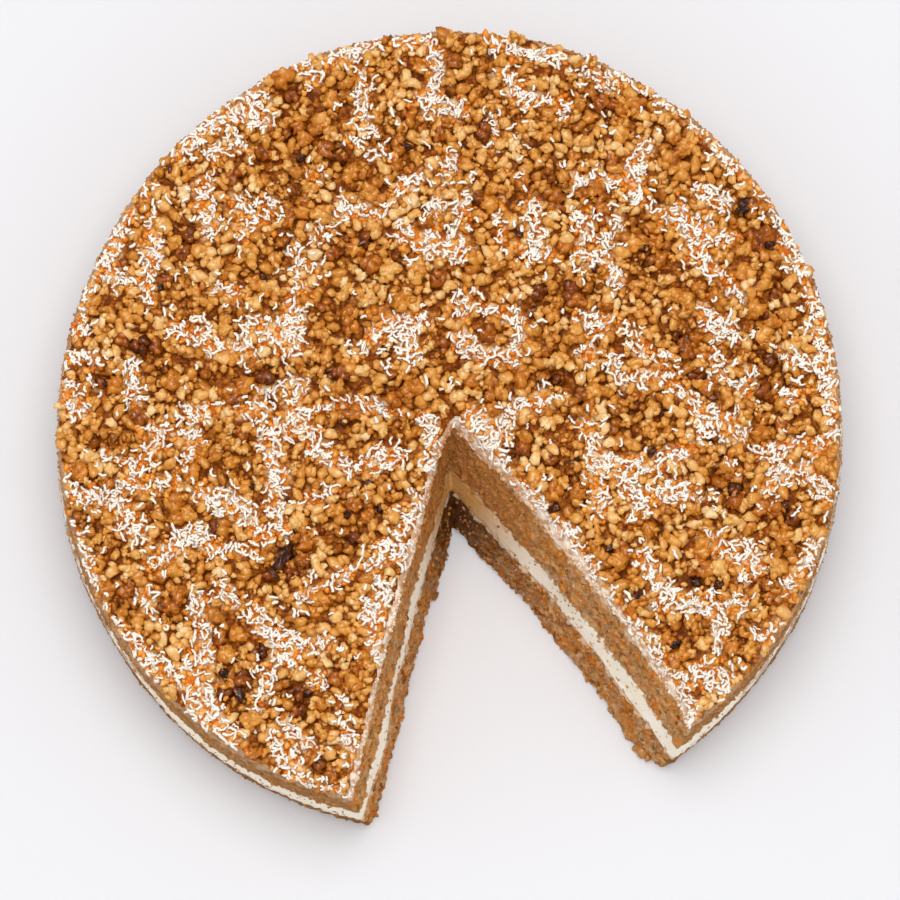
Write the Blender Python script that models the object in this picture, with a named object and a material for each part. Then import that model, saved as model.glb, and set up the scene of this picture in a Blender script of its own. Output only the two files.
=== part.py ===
"""Round carrot cake with one wedge taken out: two sponges, cream between them, icing and a heap of nuts.

Metres, +Z up. The origin is the centre of the round base on the plane it rests on, and the wedge is missing
towards -Y. Every layer is a turned disc with gentle unevenness, and one wedge cutter opens them all.
"""

import math

import bmesh
import bpy
from mathutils import Vector, noise

# Heights of the layers, from the resting plane up.
BOTTOM_SPONGE_TOP = 0.0180
CREAM_TOP = 0.0277
TOP_SPONGE_TOP = 0.0480
ICING_TOP = 0.0517
LAYER_GAP = 0.0003
CUT_HEIGHT = 0.0520

# Radii of the naked side, which widens a little towards the foot.
BASE_RADIUS = 0.1315
FOOT_RADIUS = 0.1321
FOOT_HEIGHT = 0.0022
BOTTOM_SPONGE_TOP_RADIUS = 0.1321
CREAM_BOTTOM_RADIUS = 0.1322
CREAM_MIDDLE_RADIUS = 0.1321
CREAM_TOP_RADIUS = 0.1315
TOP_SPONGE_BOTTOM_RADIUS = 0.1313
TOP_SPONGE_MIDDLE_RADIUS = 0.1308
TOP_SPONGE_TOP_RADIUS = 0.1300
ICING_RADIUS = 0.1299
ICING_SHOULDER = 0.0022
ICING_EDGE_RADIUS = 0.1291

# The cake is not quite round: shifted, a little oval and three-sided, and its foot stands out in front.
SHIFT = 0.0006
SHIFT_ANGLE = math.radians(119.0)
OVAL = 0.0008
OVAL_ANGLE = math.radians(78.0)
THREE_SIDED = 0.00035
THREE_SIDED_ANGLE = math.radians(-23.0)
FOOT_SHIFT = 0.0011
FOOT_SHIFT_ANGLE = math.radians(-80.0)

# Ripples of the side, each as its height, the waves round the cake, their start and their turn with height.
SIDE_RIPPLES = ((0.00018, 7.0, 2.0, 14.0), (0.00012, 11.0, 0.0, -40.0))

# Waves of the surfaces between layers, each as its height, its pitch along X and Y, and its shift by layer.
LAYER_WAVES = ((0.00018, 52.0, 46.0, 4.0), (0.00018, 52.0, -46.0, -0.6), (0.00024, -31.0, 60.0, 1.0))
SPOKES = 60
RINGS = (0.046, 0.082, 0.110)

# The missing wedge: the point where the two cuts meet on top, and the way each cut runs, measured from -Y.
CUT_POINT = Vector((0.0020, 0.0020))
LEFT_CUT_ANGLE = math.radians(-15.6)
RIGHT_CUT_ANGLE = math.radians(35.9)
CUT_REACH = 0.170
CUT_STEPS = 12
CUT_LEVELS = (-0.006, 0.0, 0.006, 0.012, 0.018, 0.023, 0.028, 0.035, 0.042, 0.048, 0.052, 0.070)

# The left cut bows back from its straight line on top, and its foot stands into the gap. Pairs are the
# reaches from the point between which something grows or fades.
LEFT_BOW = 0.0027
LEFT_BOW_GROWS = (0.0, 0.012)
LEFT_BOW_FADES = (0.060, 0.128)
LEFT_BOW_FADE = 0.9
LEFT_LEAN = 0.0104
LEFT_LEAN_FADE = 0.0010
LEFT_LEAN_FADES = (0.070, 0.125)
LEFT_CORNER = 0.0018
LEFT_CORNER_WEARS = (0.130, 0.142)
LEFT_LEAN_CURVE = 1.05

# The right cut bows and leans more, most of all near the point, and the corner of its foot is worn away.
RIGHT_BOW = 0.0060
RIGHT_BOW_GROWS = (-0.012, 0.060)
RIGHT_BOW_FADES = (0.118, 0.134)
RIGHT_BOW_FADE = 0.75
RIGHT_LEAN = 0.0190
RIGHT_LEAN_AT_POINT = 0.0036
RIGHT_LEAN_FADES = (0.020, 0.095)
RIGHT_CORNER = 0.0085
RIGHT_CORNER_WEARS = (0.116, 0.138)
RIGHT_LEAN_CURVE = 0.87
RIGHT_CURVE_ENDS = (0.050, 0.100)

# The knife's wobble: how far, the length and the height of its waves, and what keeps the two cuts unlike.
CUT_WOBBLE = 0.0009
WOBBLE_LENGTH = 0.018
WOBBLE_HEIGHT = 0.011
CUTS_APART = 9.0

# The heap of chopped nuts and coconut on the icing.
HEAP_BASE = 0.0520
HEAP_LOW = 0.0018
HEAP_CLUSTER = 0.0042
HEAP_CLUSTER_SIZE = 0.016
HEAP_LUMP_SIZE = 0.008
HEAP_GRAIN = 0.0010
HEAP_GRAIN_SIZE = 0.0024
HEAP_RADIUS = 0.1299
HEAP_EDGE = 0.010
HEAP_EDGE_SHARE = 0.55
HEAP_RAGGED = 0.0011
HEAP_RAGGED_SIZE = 0.0105
HEAP_SETBACK = 0.0009
HEAP_POINT_SETBACK = 0.0020
HEAP_CUT_WOBBLE = 0.0022
HEAP_CELL = 0.0054
HEAP_CELLS = 50
HEAP_CELL_SHIFT = 0.30
HEAP_CELL_SHIFT_SIZE = 0.0038
DRUM_SEGMENTS = 150
DRUM_BELOW = 0.004
DRUM_ABOVE = 0.020


def smooth_step(low, high, value):
    share = min(1.0, max(0.0, (value - low) / (high - low)))
    return share * share * (3.0 - 2.0 * share)


def side_wave(angle, height):
    """How far the side stands out or in at this angle."""
    shape = SHIFT * math.cos(angle - SHIFT_ANGLE)
    shape += OVAL * math.cos(2.0 * (angle - OVAL_ANGLE))
    shape += THREE_SIDED * math.cos(3.0 * (angle - THREE_SIDED_ANGLE))
    shape += FOOT_SHIFT * cut_depth(height) * math.cos(angle - FOOT_SHIFT_ANGLE)
    for ripple, waves, start, turn in SIDE_RIPPLES:
        shape += ripple * math.cos(waves * angle + start + turn * height)
    return shape


def layer_wave(x, y, layer):
    """The gentle rise and fall of the surface between two layers."""
    height = 0.0
    for rise, pitch_x, pitch_y, shift in LAYER_WAVES:
        height += rise * math.cos(pitch_x * x + pitch_y * y + shift * layer)
    return height


def cut_direction(angle):
    return Vector((math.sin(angle), -math.cos(angle)))


def into_gap(angle):
    """The level direction square to a cut, pointing into the gap."""
    along = cut_direction(angle)
    return Vector((-along.y, along.x)) if angle < 0.0 else Vector((along.y, -along.x))


def left_face(along, depth):
    """How far the left cut face stands into the gap from its straight line, at this reach and depth."""
    bow = LEFT_BOW * smooth_step(*LEFT_BOW_GROWS, along)
    bow *= 1.0 - LEFT_BOW_FADE * smooth_step(*LEFT_BOW_FADES, along)
    foot = LEFT_LEAN - LEFT_LEAN_FADE * smooth_step(*LEFT_LEAN_FADES, along)
    foot -= LEFT_CORNER * smooth_step(*LEFT_CORNER_WEARS, along)
    return foot * depth**LEFT_LEAN_CURVE - bow


def right_face(along, depth):
    """How far the right cut face stands into the gap from its straight line, at this reach and depth."""
    bow = RIGHT_BOW * smooth_step(*RIGHT_BOW_GROWS, along)
    bow *= 1.0 - RIGHT_BOW_FADE * smooth_step(*RIGHT_BOW_FADES, along)
    bow -= RIGHT_BOW * smooth_step(*RIGHT_BOW_GROWS, 0.0)
    foot = RIGHT_LEAN + RIGHT_LEAN_AT_POINT * (1.0 - smooth_step(*RIGHT_LEAN_FADES, along))
    foot -= RIGHT_CORNER * smooth_step(*RIGHT_CORNER_WEARS, along)
    curve = RIGHT_LEAN_CURVE + (1.0 - RIGHT_LEAN_CURVE) * smooth_step(*RIGHT_CURVE_ENDS, along)
    return foot * depth**curve - bow


def cut_depth(height):
    return max(0.0, (CUT_HEIGHT - height) / CUT_HEIGHT)


def cut_meeting(depth):
    """Where the two cuts meet at this depth, from CUT_POINT."""
    left = into_gap(LEFT_CUT_ANGLE)
    right = into_gap(RIGHT_CUT_ANGLE)
    area = left.x * right.y - left.y * right.x
    meeting = Vector((0.0, 0.0))
    for _ in range(8):
        left_offset = left_face(meeting.dot(cut_direction(LEFT_CUT_ANGLE)), depth)
        right_offset = right_face(meeting.dot(cut_direction(RIGHT_CUT_ANGLE)), depth)
        x = (left_offset * right.y - right_offset * left.y) / area
        y = (left.x * right_offset - right.x * left_offset) / area
        meeting = Vector((x, y))
    return meeting


def cut_side(angle, face, depth, height, wobble):
    """The points of one cut at one height, from the meeting of the cuts outward."""
    along = cut_direction(angle)
    inward = into_gap(angle)
    meeting = cut_meeting(depth)
    start = meeting.dot(along)
    points = [CUT_POINT + meeting]
    for step in range(1, CUT_STEPS + 1):
        reach = start + (CUT_REACH - start) * step / CUT_STEPS
        place = Vector((reach / WOBBLE_LENGTH, height / WOBBLE_HEIGHT, CUTS_APART * angle))
        uneven = wobble * noise.noise(place)
        points.append(CUT_POINT + along * reach + inward * (face(reach, depth) + uneven))
    return points


def new_object(name, bm, collection):
    mesh = bpy.data.meshes.new(name)
    bm.to_mesh(mesh)
    bm.free()
    thing = bpy.data.objects.new(name, mesh)
    collection.objects.link(thing)
    return thing


def widened(loop, setback, point_setback):
    """The wedge's outline moved back into the cake along both cuts and at the point where they meet."""
    left = [point - setback * into_gap(LEFT_CUT_ANGLE) for point in loop[:CUT_STEPS]]
    right = [point - setback * into_gap(RIGHT_CUT_ANGLE) for point in loop[CUT_STEPS + 1 :]]
    return left + [CUT_POINT + Vector((0.0, point_setback))] + right


def wedge_cutter(name, setback, point_setback, wobble, collection):
    """The wedge that was lifted out, lofted through its outline at each height and run past the cake."""
    bm = bmesh.new()
    rows = []
    for height in CUT_LEVELS:
        depth = cut_depth(height)
        left = cut_side(LEFT_CUT_ANGLE, left_face, depth, height, wobble)
        right = cut_side(RIGHT_CUT_ANGLE, right_face, depth, height, wobble)
        loop = list(reversed(left[1:])) + right
        if setback:
            loop = widened(loop, setback, point_setback)
        rows.append([bm.verts.new((point.x, point.y, height)) for point in loop])
    for lower, upper in zip(rows, rows[1:]):
        for place in range(len(lower)):
            after = (place + 1) % len(lower)
            bm.faces.new((lower[place], lower[after], upper[after], upper[place]))
    bm.faces.new(list(reversed(rows[0])))
    bm.faces.new(rows[-1])
    bmesh.ops.triangulate(bm, faces=bm.faces)
    bmesh.ops.recalc_face_normals(bm, faces=bm.faces)
    cutter = new_object(name, bm, collection)
    cutter.hide_render = True
    cutter.display_type = "WIRE"
    return cutter


def layer(name, side, lower_layer, upper_layer, collection):
    """A turned disc. side is the (radius, height) profile of its rim from the bottom edge to the top edge.

    lower_layer and upper_layer number the wavy surfaces below and above, and None keeps that face flat.
    """
    bottom = [(0.0, side[0][1])] + [(radius, side[0][1]) for radius in RINGS]
    top = [(radius, side[-1][1]) for radius in reversed(RINGS)] + [(0.0, side[-1][1])]
    profile = bottom + list(side) + top
    bm = bmesh.new()
    points = [bm.verts.new((radius, 0.0, height)) for radius, height in profile]
    edges = [bm.edges.new(pair) for pair in zip(points, points[1:])]
    bmesh.ops.spin(
        bm,
        geom=points + edges,
        cent=(0.0, 0.0, 0.0),
        axis=(0.0, 0.0, 1.0),
        angle=2.0 * math.pi,
        steps=SPOKES,
        use_merge=True,
    )
    bmesh.ops.remove_doubles(bm, verts=bm.verts, dist=0.00001)
    middle = 0.5 * (side[0][1] + side[-1][1])
    for vert in bm.verts:
        x, y, z = vert.co
        radius = math.hypot(x, y)
        number = lower_layer if z < middle else upper_layer
        share = min(1.0, abs(z - middle) / (0.5 * (side[-1][1] - side[0][1])))
        if number is not None:
            vert.co.z += share * layer_wave(x, y, number)
        if radius > 1.01 * RINGS[-1]:
            stretch = 1.0 + side_wave(math.atan2(y, x), z) / radius
            vert.co.x *= stretch
            vert.co.y *= stretch
    bmesh.ops.triangulate(bm, faces=bm.faces, quad_method="SHORT_EDGE")
    bmesh.ops.recalc_face_normals(bm, faces=bm.faces)
    return new_object(name, bm, collection)


def heap_height(x, y):
    """Height of the nut heap over its base: low under drifts of coconut, high in the clusters of nuts."""
    broad = noise.noise(Vector((x, y, 0.048)) / HEAP_CLUSTER_SIZE)
    fine = noise.noise(Vector((x, y, 0.062)) / HEAP_LUMP_SIZE)
    grain = noise.noise(Vector((x, y, 0.003)) / HEAP_GRAIN_SIZE)
    cluster = smooth_step(-0.35, 0.45, 0.65 * broad + 0.5 * fine)
    inward = 1.0 - smooth_step(HEAP_RADIUS - HEAP_EDGE, HEAP_RADIUS, math.hypot(x, y))
    height = HEAP_LOW + HEAP_CLUSTER * cluster + HEAP_GRAIN * grain
    return height * (HEAP_EDGE_SHARE + (1.0 - HEAP_EDGE_SHARE) * inward)


def nut_heap(name, collection):
    """The heap before its outline is cut: a grid of uneven height on a flat base."""
    bm = bmesh.new()
    half = 0.5 * HEAP_CELL * HEAP_CELLS
    bmesh.ops.create_grid(bm, x_segments=HEAP_CELLS, y_segments=HEAP_CELLS, size=half)
    for vert in bm.verts:
        x, y, _ = vert.co
        shift = noise.noise_vector(Vector((x, y, HEAP_BASE)) / HEAP_CELL_SHIFT_SIZE)
        vert.co.x += HEAP_CELL_SHIFT * HEAP_CELL * shift.x
        vert.co.y += HEAP_CELL_SHIFT * HEAP_CELL * shift.y
        vert.co.z = HEAP_BASE + heap_height(vert.co.x, vert.co.y)
    border = [edge for edge in bm.edges if edge.is_boundary]
    skirt = bmesh.ops.extrude_edge_only(bm, edges=border)["geom"]
    for vert in (item for item in skirt if isinstance(item, bmesh.types.BMVert)):
        vert.co.z = HEAP_BASE
    bmesh.ops.holes_fill(bm, edges=[edge for edge in bm.edges if edge.is_boundary], sides=0)
    bmesh.ops.triangulate(bm, faces=bm.faces)
    bmesh.ops.recalc_face_normals(bm, faces=bm.faces)
    return new_object(name, bm, collection)


def heap_outline(name, collection):
    """The ragged round edge of the heap, as an upright drum."""
    bm = bmesh.new()
    rim = bmesh.ops.create_circle(bm, cap_ends=True, segments=DRUM_SEGMENTS, radius=HEAP_RADIUS)["verts"]
    for vert in rim:
        angle = math.atan2(vert.co.y, vert.co.x)
        ragged = HEAP_RAGGED * noise.noise(vert.co / HEAP_RAGGED_SIZE)
        reach = HEAP_RADIUS + side_wave(angle, HEAP_BASE) + ragged
        vert.co = Vector((reach * math.cos(angle), reach * math.sin(angle), HEAP_BASE - DRUM_BELOW))
    lid = bmesh.ops.extrude_face_region(bm, geom=list(bm.faces))["geom"]
    for vert in (item for item in lid if isinstance(item, bmesh.types.BMVert)):
        vert.co.z = HEAP_BASE + DRUM_ABOVE
    bmesh.ops.recalc_face_normals(bm, faces=bm.faces)
    drum = new_object(name, bm, collection)
    drum.hide_render = True
    drum.display_type = "WIRE"
    return drum


def boolean(thing, operation, other):
    step = thing.modifiers.new(operation.capitalize(), "BOOLEAN")
    step.operation = operation
    step.solver = "EXACT"
    step.object = other


def material(thing, colour, roughness):
    look = bpy.data.materials.new(thing.name)
    look.use_nodes = True
    shader = look.node_tree.nodes["Principled BSDF"]
    shader.inputs["Base Color"].default_value = (*colour, 1.0)
    shader.inputs["Roughness"].default_value = roughness
    shader.inputs["Metallic"].default_value = 0.0
    thing.data.materials.append(look)


for old in list(bpy.data.objects):
    bpy.data.objects.remove(old, do_unlink=True)

cake = bpy.data.collections.new("carrot_cake")
cutters = bpy.data.collections.new("cutters")
cutters.hide_render = True
bpy.context.scene.collection.children.link(cake)
bpy.context.scene.collection.children.link(cutters)

wedge = wedge_cutter("wedge_gap", 0.0, 0.0, CUT_WOBBLE, cutters)
wider_wedge = wedge_cutter("wedge_gap_in_heap", HEAP_SETBACK, HEAP_POINT_SETBACK, HEAP_CUT_WOBBLE, cutters)
drum = heap_outline("heap_drum", cutters)

bottom_sponge = layer(
    "bottom_sponge",
    ((BASE_RADIUS, 0.0), (FOOT_RADIUS, FOOT_HEIGHT), (BOTTOM_SPONGE_TOP_RADIUS, BOTTOM_SPONGE_TOP)),
    None,
    1,
    cake,
)
cream_filling = layer(
    "cream_filling",
    (
        (CREAM_BOTTOM_RADIUS, BOTTOM_SPONGE_TOP + LAYER_GAP),
        (CREAM_MIDDLE_RADIUS, 0.5 * (BOTTOM_SPONGE_TOP + CREAM_TOP)),
        (CREAM_TOP_RADIUS, CREAM_TOP),
    ),
    1,
    2,
    cake,
)
top_sponge = layer(
    "top_sponge",
    (
        (TOP_SPONGE_BOTTOM_RADIUS, CREAM_TOP + LAYER_GAP),
        (TOP_SPONGE_MIDDLE_RADIUS, 0.5 * (CREAM_TOP + TOP_SPONGE_TOP)),
        (TOP_SPONGE_TOP_RADIUS, TOP_SPONGE_TOP),
    ),
    2,
    3,
    cake,
)
top_icing = layer(
    "top_icing",
    (
        (ICING_RADIUS, TOP_SPONGE_TOP + LAYER_GAP),
        (ICING_RADIUS, TOP_SPONGE_TOP + ICING_SHOULDER),
        (ICING_EDGE_RADIUS, ICING_TOP),
    ),
    3,
    None,
    cake,
)
for part in (bottom_sponge, cream_filling, top_sponge, top_icing):
    boolean(part, "DIFFERENCE", wedge)

nut_topping = nut_heap("nut_topping", cake)
boolean(nut_topping, "INTERSECT", drum)
boolean(nut_topping, "DIFFERENCE", wider_wedge)

material(bottom_sponge, (0.41, 0.22, 0.10), 0.9)
material(cream_filling, (0.84, 0.76, 0.60), 0.6)
material(top_sponge, (0.42, 0.23, 0.10), 0.9)
material(top_icing, (0.88, 0.83, 0.74), 0.6)
material(nut_topping, (0.56, 0.30, 0.10), 0.75)
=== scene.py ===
"""Looks of a round carrot cake with one wedge taken out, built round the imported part.

Metres, +Z up, in the frame of the part: the cake rests on z = 0 and its gap opens towards -Y. The walls of
the four layers follow the outline of the part's solids, so the lengths of that outline are repeated here. The
topping is made of loose nuts, crumbs and shreds of coconut that settle one by one on a field of heights over
a low bed.
"""

import math
import random

import bmesh
import bpy
import numpy as np
from mathutils import Euler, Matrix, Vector, noise


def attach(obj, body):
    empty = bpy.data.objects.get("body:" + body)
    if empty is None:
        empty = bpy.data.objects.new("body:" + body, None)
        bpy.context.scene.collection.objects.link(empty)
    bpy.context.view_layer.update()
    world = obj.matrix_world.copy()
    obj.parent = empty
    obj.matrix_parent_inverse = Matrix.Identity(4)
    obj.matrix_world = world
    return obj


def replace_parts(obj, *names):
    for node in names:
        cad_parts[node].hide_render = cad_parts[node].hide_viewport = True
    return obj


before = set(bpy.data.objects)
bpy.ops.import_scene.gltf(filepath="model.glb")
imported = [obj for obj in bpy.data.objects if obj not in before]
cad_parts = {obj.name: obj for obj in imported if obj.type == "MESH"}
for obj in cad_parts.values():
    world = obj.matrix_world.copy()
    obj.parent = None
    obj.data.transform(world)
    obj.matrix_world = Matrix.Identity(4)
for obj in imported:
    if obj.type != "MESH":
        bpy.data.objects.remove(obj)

BODY = "root"

# The side of each layer from its bottom edge to its top edge, as (height, radius).
BOTTOM_SPONGE_SIDE = ((0.0, 0.1315), (0.0022, 0.1321), (0.0180, 0.1321))
CREAM_SIDE = ((0.0177, 0.1322), (0.0229, 0.1321), (0.0281, 0.1315))
TOP_SPONGE_SIDE = ((0.0280, 0.1313), (0.0379, 0.1308), (0.0480, 0.1300))
ICING_SIDE = ((0.0476, 0.1297), (0.0500, 0.1295), (0.0517, 0.1287))
HEAP_BASE = 0.0520
HEAP_CEILING = 0.0588

# The cake is not quite round: shifted, a little oval and three-sided, and its foot stands out in front.
SHIFT = 0.0006
SHIFT_ANGLE = math.radians(119.0)
OVAL = 0.0008
OVAL_ANGLE = math.radians(78.0)
THREE_SIDED = 0.00035
THREE_SIDED_ANGLE = math.radians(-23.0)
FOOT_SHIFT = 0.0011
FOOT_SHIFT_ANGLE = math.radians(-80.0)

# Ripples of the side, each as its height, the waves round the cake, their start and their turn with height.
SIDE_RIPPLES = ((0.00018, 7.0, 2.0, 14.0), (0.00012, 11.0, 0.0, -40.0))

# Waves of the surfaces between layers, each as its height, its pitch along X and Y, and its shift by layer.
LAYER_WAVES = ((0.00018, 52.0, 46.0, 4.0), (0.00018, 52.0, -46.0, -0.6), (0.00024, -31.0, 60.0, 1.0))

# The missing wedge: the point where the two cuts meet on top, and the way each cut runs, measured from -Y.
CUT_POINT = np.array((0.0020, 0.0020))
LEFT_CUT_ANGLE = math.radians(-15.6)
RIGHT_CUT_ANGLE = math.radians(35.9)
CUT_HEIGHT = 0.0520

# The left cut bows back from its straight line on top, and its foot stands into the gap. Pairs are the
# reaches from the point between which something grows or fades.
LEFT_BOW = 0.0027
LEFT_BOW_GROWS = (0.0, 0.012)
LEFT_BOW_FADES = (0.060, 0.128)
LEFT_BOW_FADE = 0.9
LEFT_LEAN = 0.0104
LEFT_LEAN_FADE = 0.0010
LEFT_LEAN_FADES = (0.070, 0.125)
LEFT_CORNER = 0.0018
LEFT_CORNER_WEARS = (0.130, 0.142)
LEFT_LEAN_CURVE = 1.05

# The right cut bows and leans more, most of all near the point, and the corner of its foot is worn away.
RIGHT_BOW = 0.0060
RIGHT_BOW_GROWS = (-0.012, 0.060)
RIGHT_BOW_FADES = (0.118, 0.134)
RIGHT_BOW_FADE = 0.75
RIGHT_LEAN = 0.0190
RIGHT_LEAN_AT_POINT = 0.0036
RIGHT_LEAN_FADES = (0.020, 0.095)
RIGHT_CORNER = 0.0085
RIGHT_CORNER_WEARS = (0.116, 0.138)
RIGHT_LEAN_CURVE = 0.87
RIGHT_CURVE_ENDS = (0.050, 0.100)

# The knife's wobble: how far, the length and the height of its waves, and what keeps the two cuts unlike.
CUT_WOBBLE = 0.0009
WOBBLE_LENGTH = 0.018
WOBBLE_HEIGHT = 0.011
CUTS_APART = 9.0

# How finely the walls are drawn: points on each cut, points on the round side, rounds of smoothing at
# corners, and how far an outline moves in at a time.
CUT_STEPS = 300
SIDE_STEPS = 860
CORNER_ROUNDS = 2
INSET_STEP = 0.0004

# The flat tops and undersides run in to a half circle behind the point, in plain sight of the whole outline,
# and from there to its middle. Its turns are measured from -Y.
CAP_REACH = 0.080
CAP_TURNS = (math.radians(111.0), math.radians(249.0))
CAP_MIDDLE = (-0.005, 0.040)

# How far the topping runs out over the round side in front and at the back, how much further to the left and
# right, and from where to where in y that starts and ends.
LEAST_OVERHANG = 0.0006
MORE_OVERHANG = 0.0008
OVERHANG_STARTS = (-0.106, -0.082)
OVERHANG_ENDS = (0.030, 0.090)

# How far the icing is pushed out over the top sponge to the left and right, under the topping.
ICING_OVERHANG = 0.0010

# From what reach to what reach from CUT_POINT the painted shade at the point fades to the cake's usual tones.
POINT_SHADE_REACHES = (0.008, 0.070)

# From where to where in y the clean round side of the front gives way to a side smeared with crumbs.
FRONT_ENDS = (-0.094, -0.074)

# The open crumb of the sponges: how far apart its lumps are, how deep each kind of unevenness goes, and how
# much of it there is on the round side.
CRUMB_PITCH = 0.0025
CRUMB_DEPTH = 0.0017
SWELL_DEPTH = 0.00055
GRAIN_DEPTH = 0.00040
PORE_DEPTH = 0.0017
FOOT_DEPTH = 0.0011
SIDE_SHARE = 0.65

# The field of heights that the topping settles on, and the places on the top that loose pieces are tried at.
FIELD_CELL = 0.0005
FIELD_HALF = 0.1370
TRIED_REACH = 0.1330

# The bed under the loose pieces: its grid, how far it stops short of the cuts, the width of its thin edge,
# its usual height, how far apart and how deep its crumbs are, and the level of its underside.
BED_CELLS = 356
BED_HALF = 0.1335
BED_SETBACK = 0.0004
BED_THIN_EDGE = 0.0025
BED_HEIGHT = 0.0024
BED_CRUMB_PITCH = 0.0019
BED_CRUMB_DEPTH = 0.0011
BED_UNDERSIDE = HEAP_BASE - 0.0008

# How much higher than the bed the loose pieces may stand: under coconut, off the coconut as well, and in a
# cluster of nuts as well.
HEAP_OVER_COCONUT = 0.0014
HEAP_OVER_BARE = 0.0016
HEAP_IN_CLUSTER = 0.0020

# Loose pieces: how flat and how tilted they lie, how often a nut is two grown together, how much of a
# piece's radius stays inside the round side, and how high a burnt bit may reach.
FLATNESS = 0.80
LOOSE_TILT = 0.6
TWIN_SHARE = 0.50
RIM_SHARE = 0.25
BURNT_CEILING = 0.0600

# How much darker the foot of a loose piece is than its top, as painted shade.
PAINTED_FOOT_SHADE = 0.12

# Shreds of coconut: points along one, corners round it, its thinning ends, half its width, and its length as
# least, most and usual. Then how many each of the two objects holds, the tries for each shred, and the share
# that strays off the veins. The last three say how far one may hang over the round side and over the cuts,
# and stand above the heap.
SHRED_SECTIONS = 5
SHRED_SIDES = 4
SHRED_TAPER = np.array((0.65, 1.0, 1.0, 1.0, 0.65))
SHRED_HALF_WIDTHS = (0.00036, 0.00060)
SHRED_LENGTHS = (0.0012, 0.0046, 0.0024)
SHREDS_EACH = 2650
SHRED_TRIES = 14
SHRED_STRAYS = 0.012
SHRED_OVER_SIDE = 0.0004
SHRED_OVER_CUT = 0.0011
SHRED_OVER_HEAP = 0.0010

# The camera stands almost straight over the cake, a little in front of it.
CAMERA_TILT = math.radians(84.2)
CAMERA_TARGET = Vector((0.0, -0.0090, 0.0520))
CAMERA_AWAY = 3.0
CAMERA_LENS = 361.8

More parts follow.
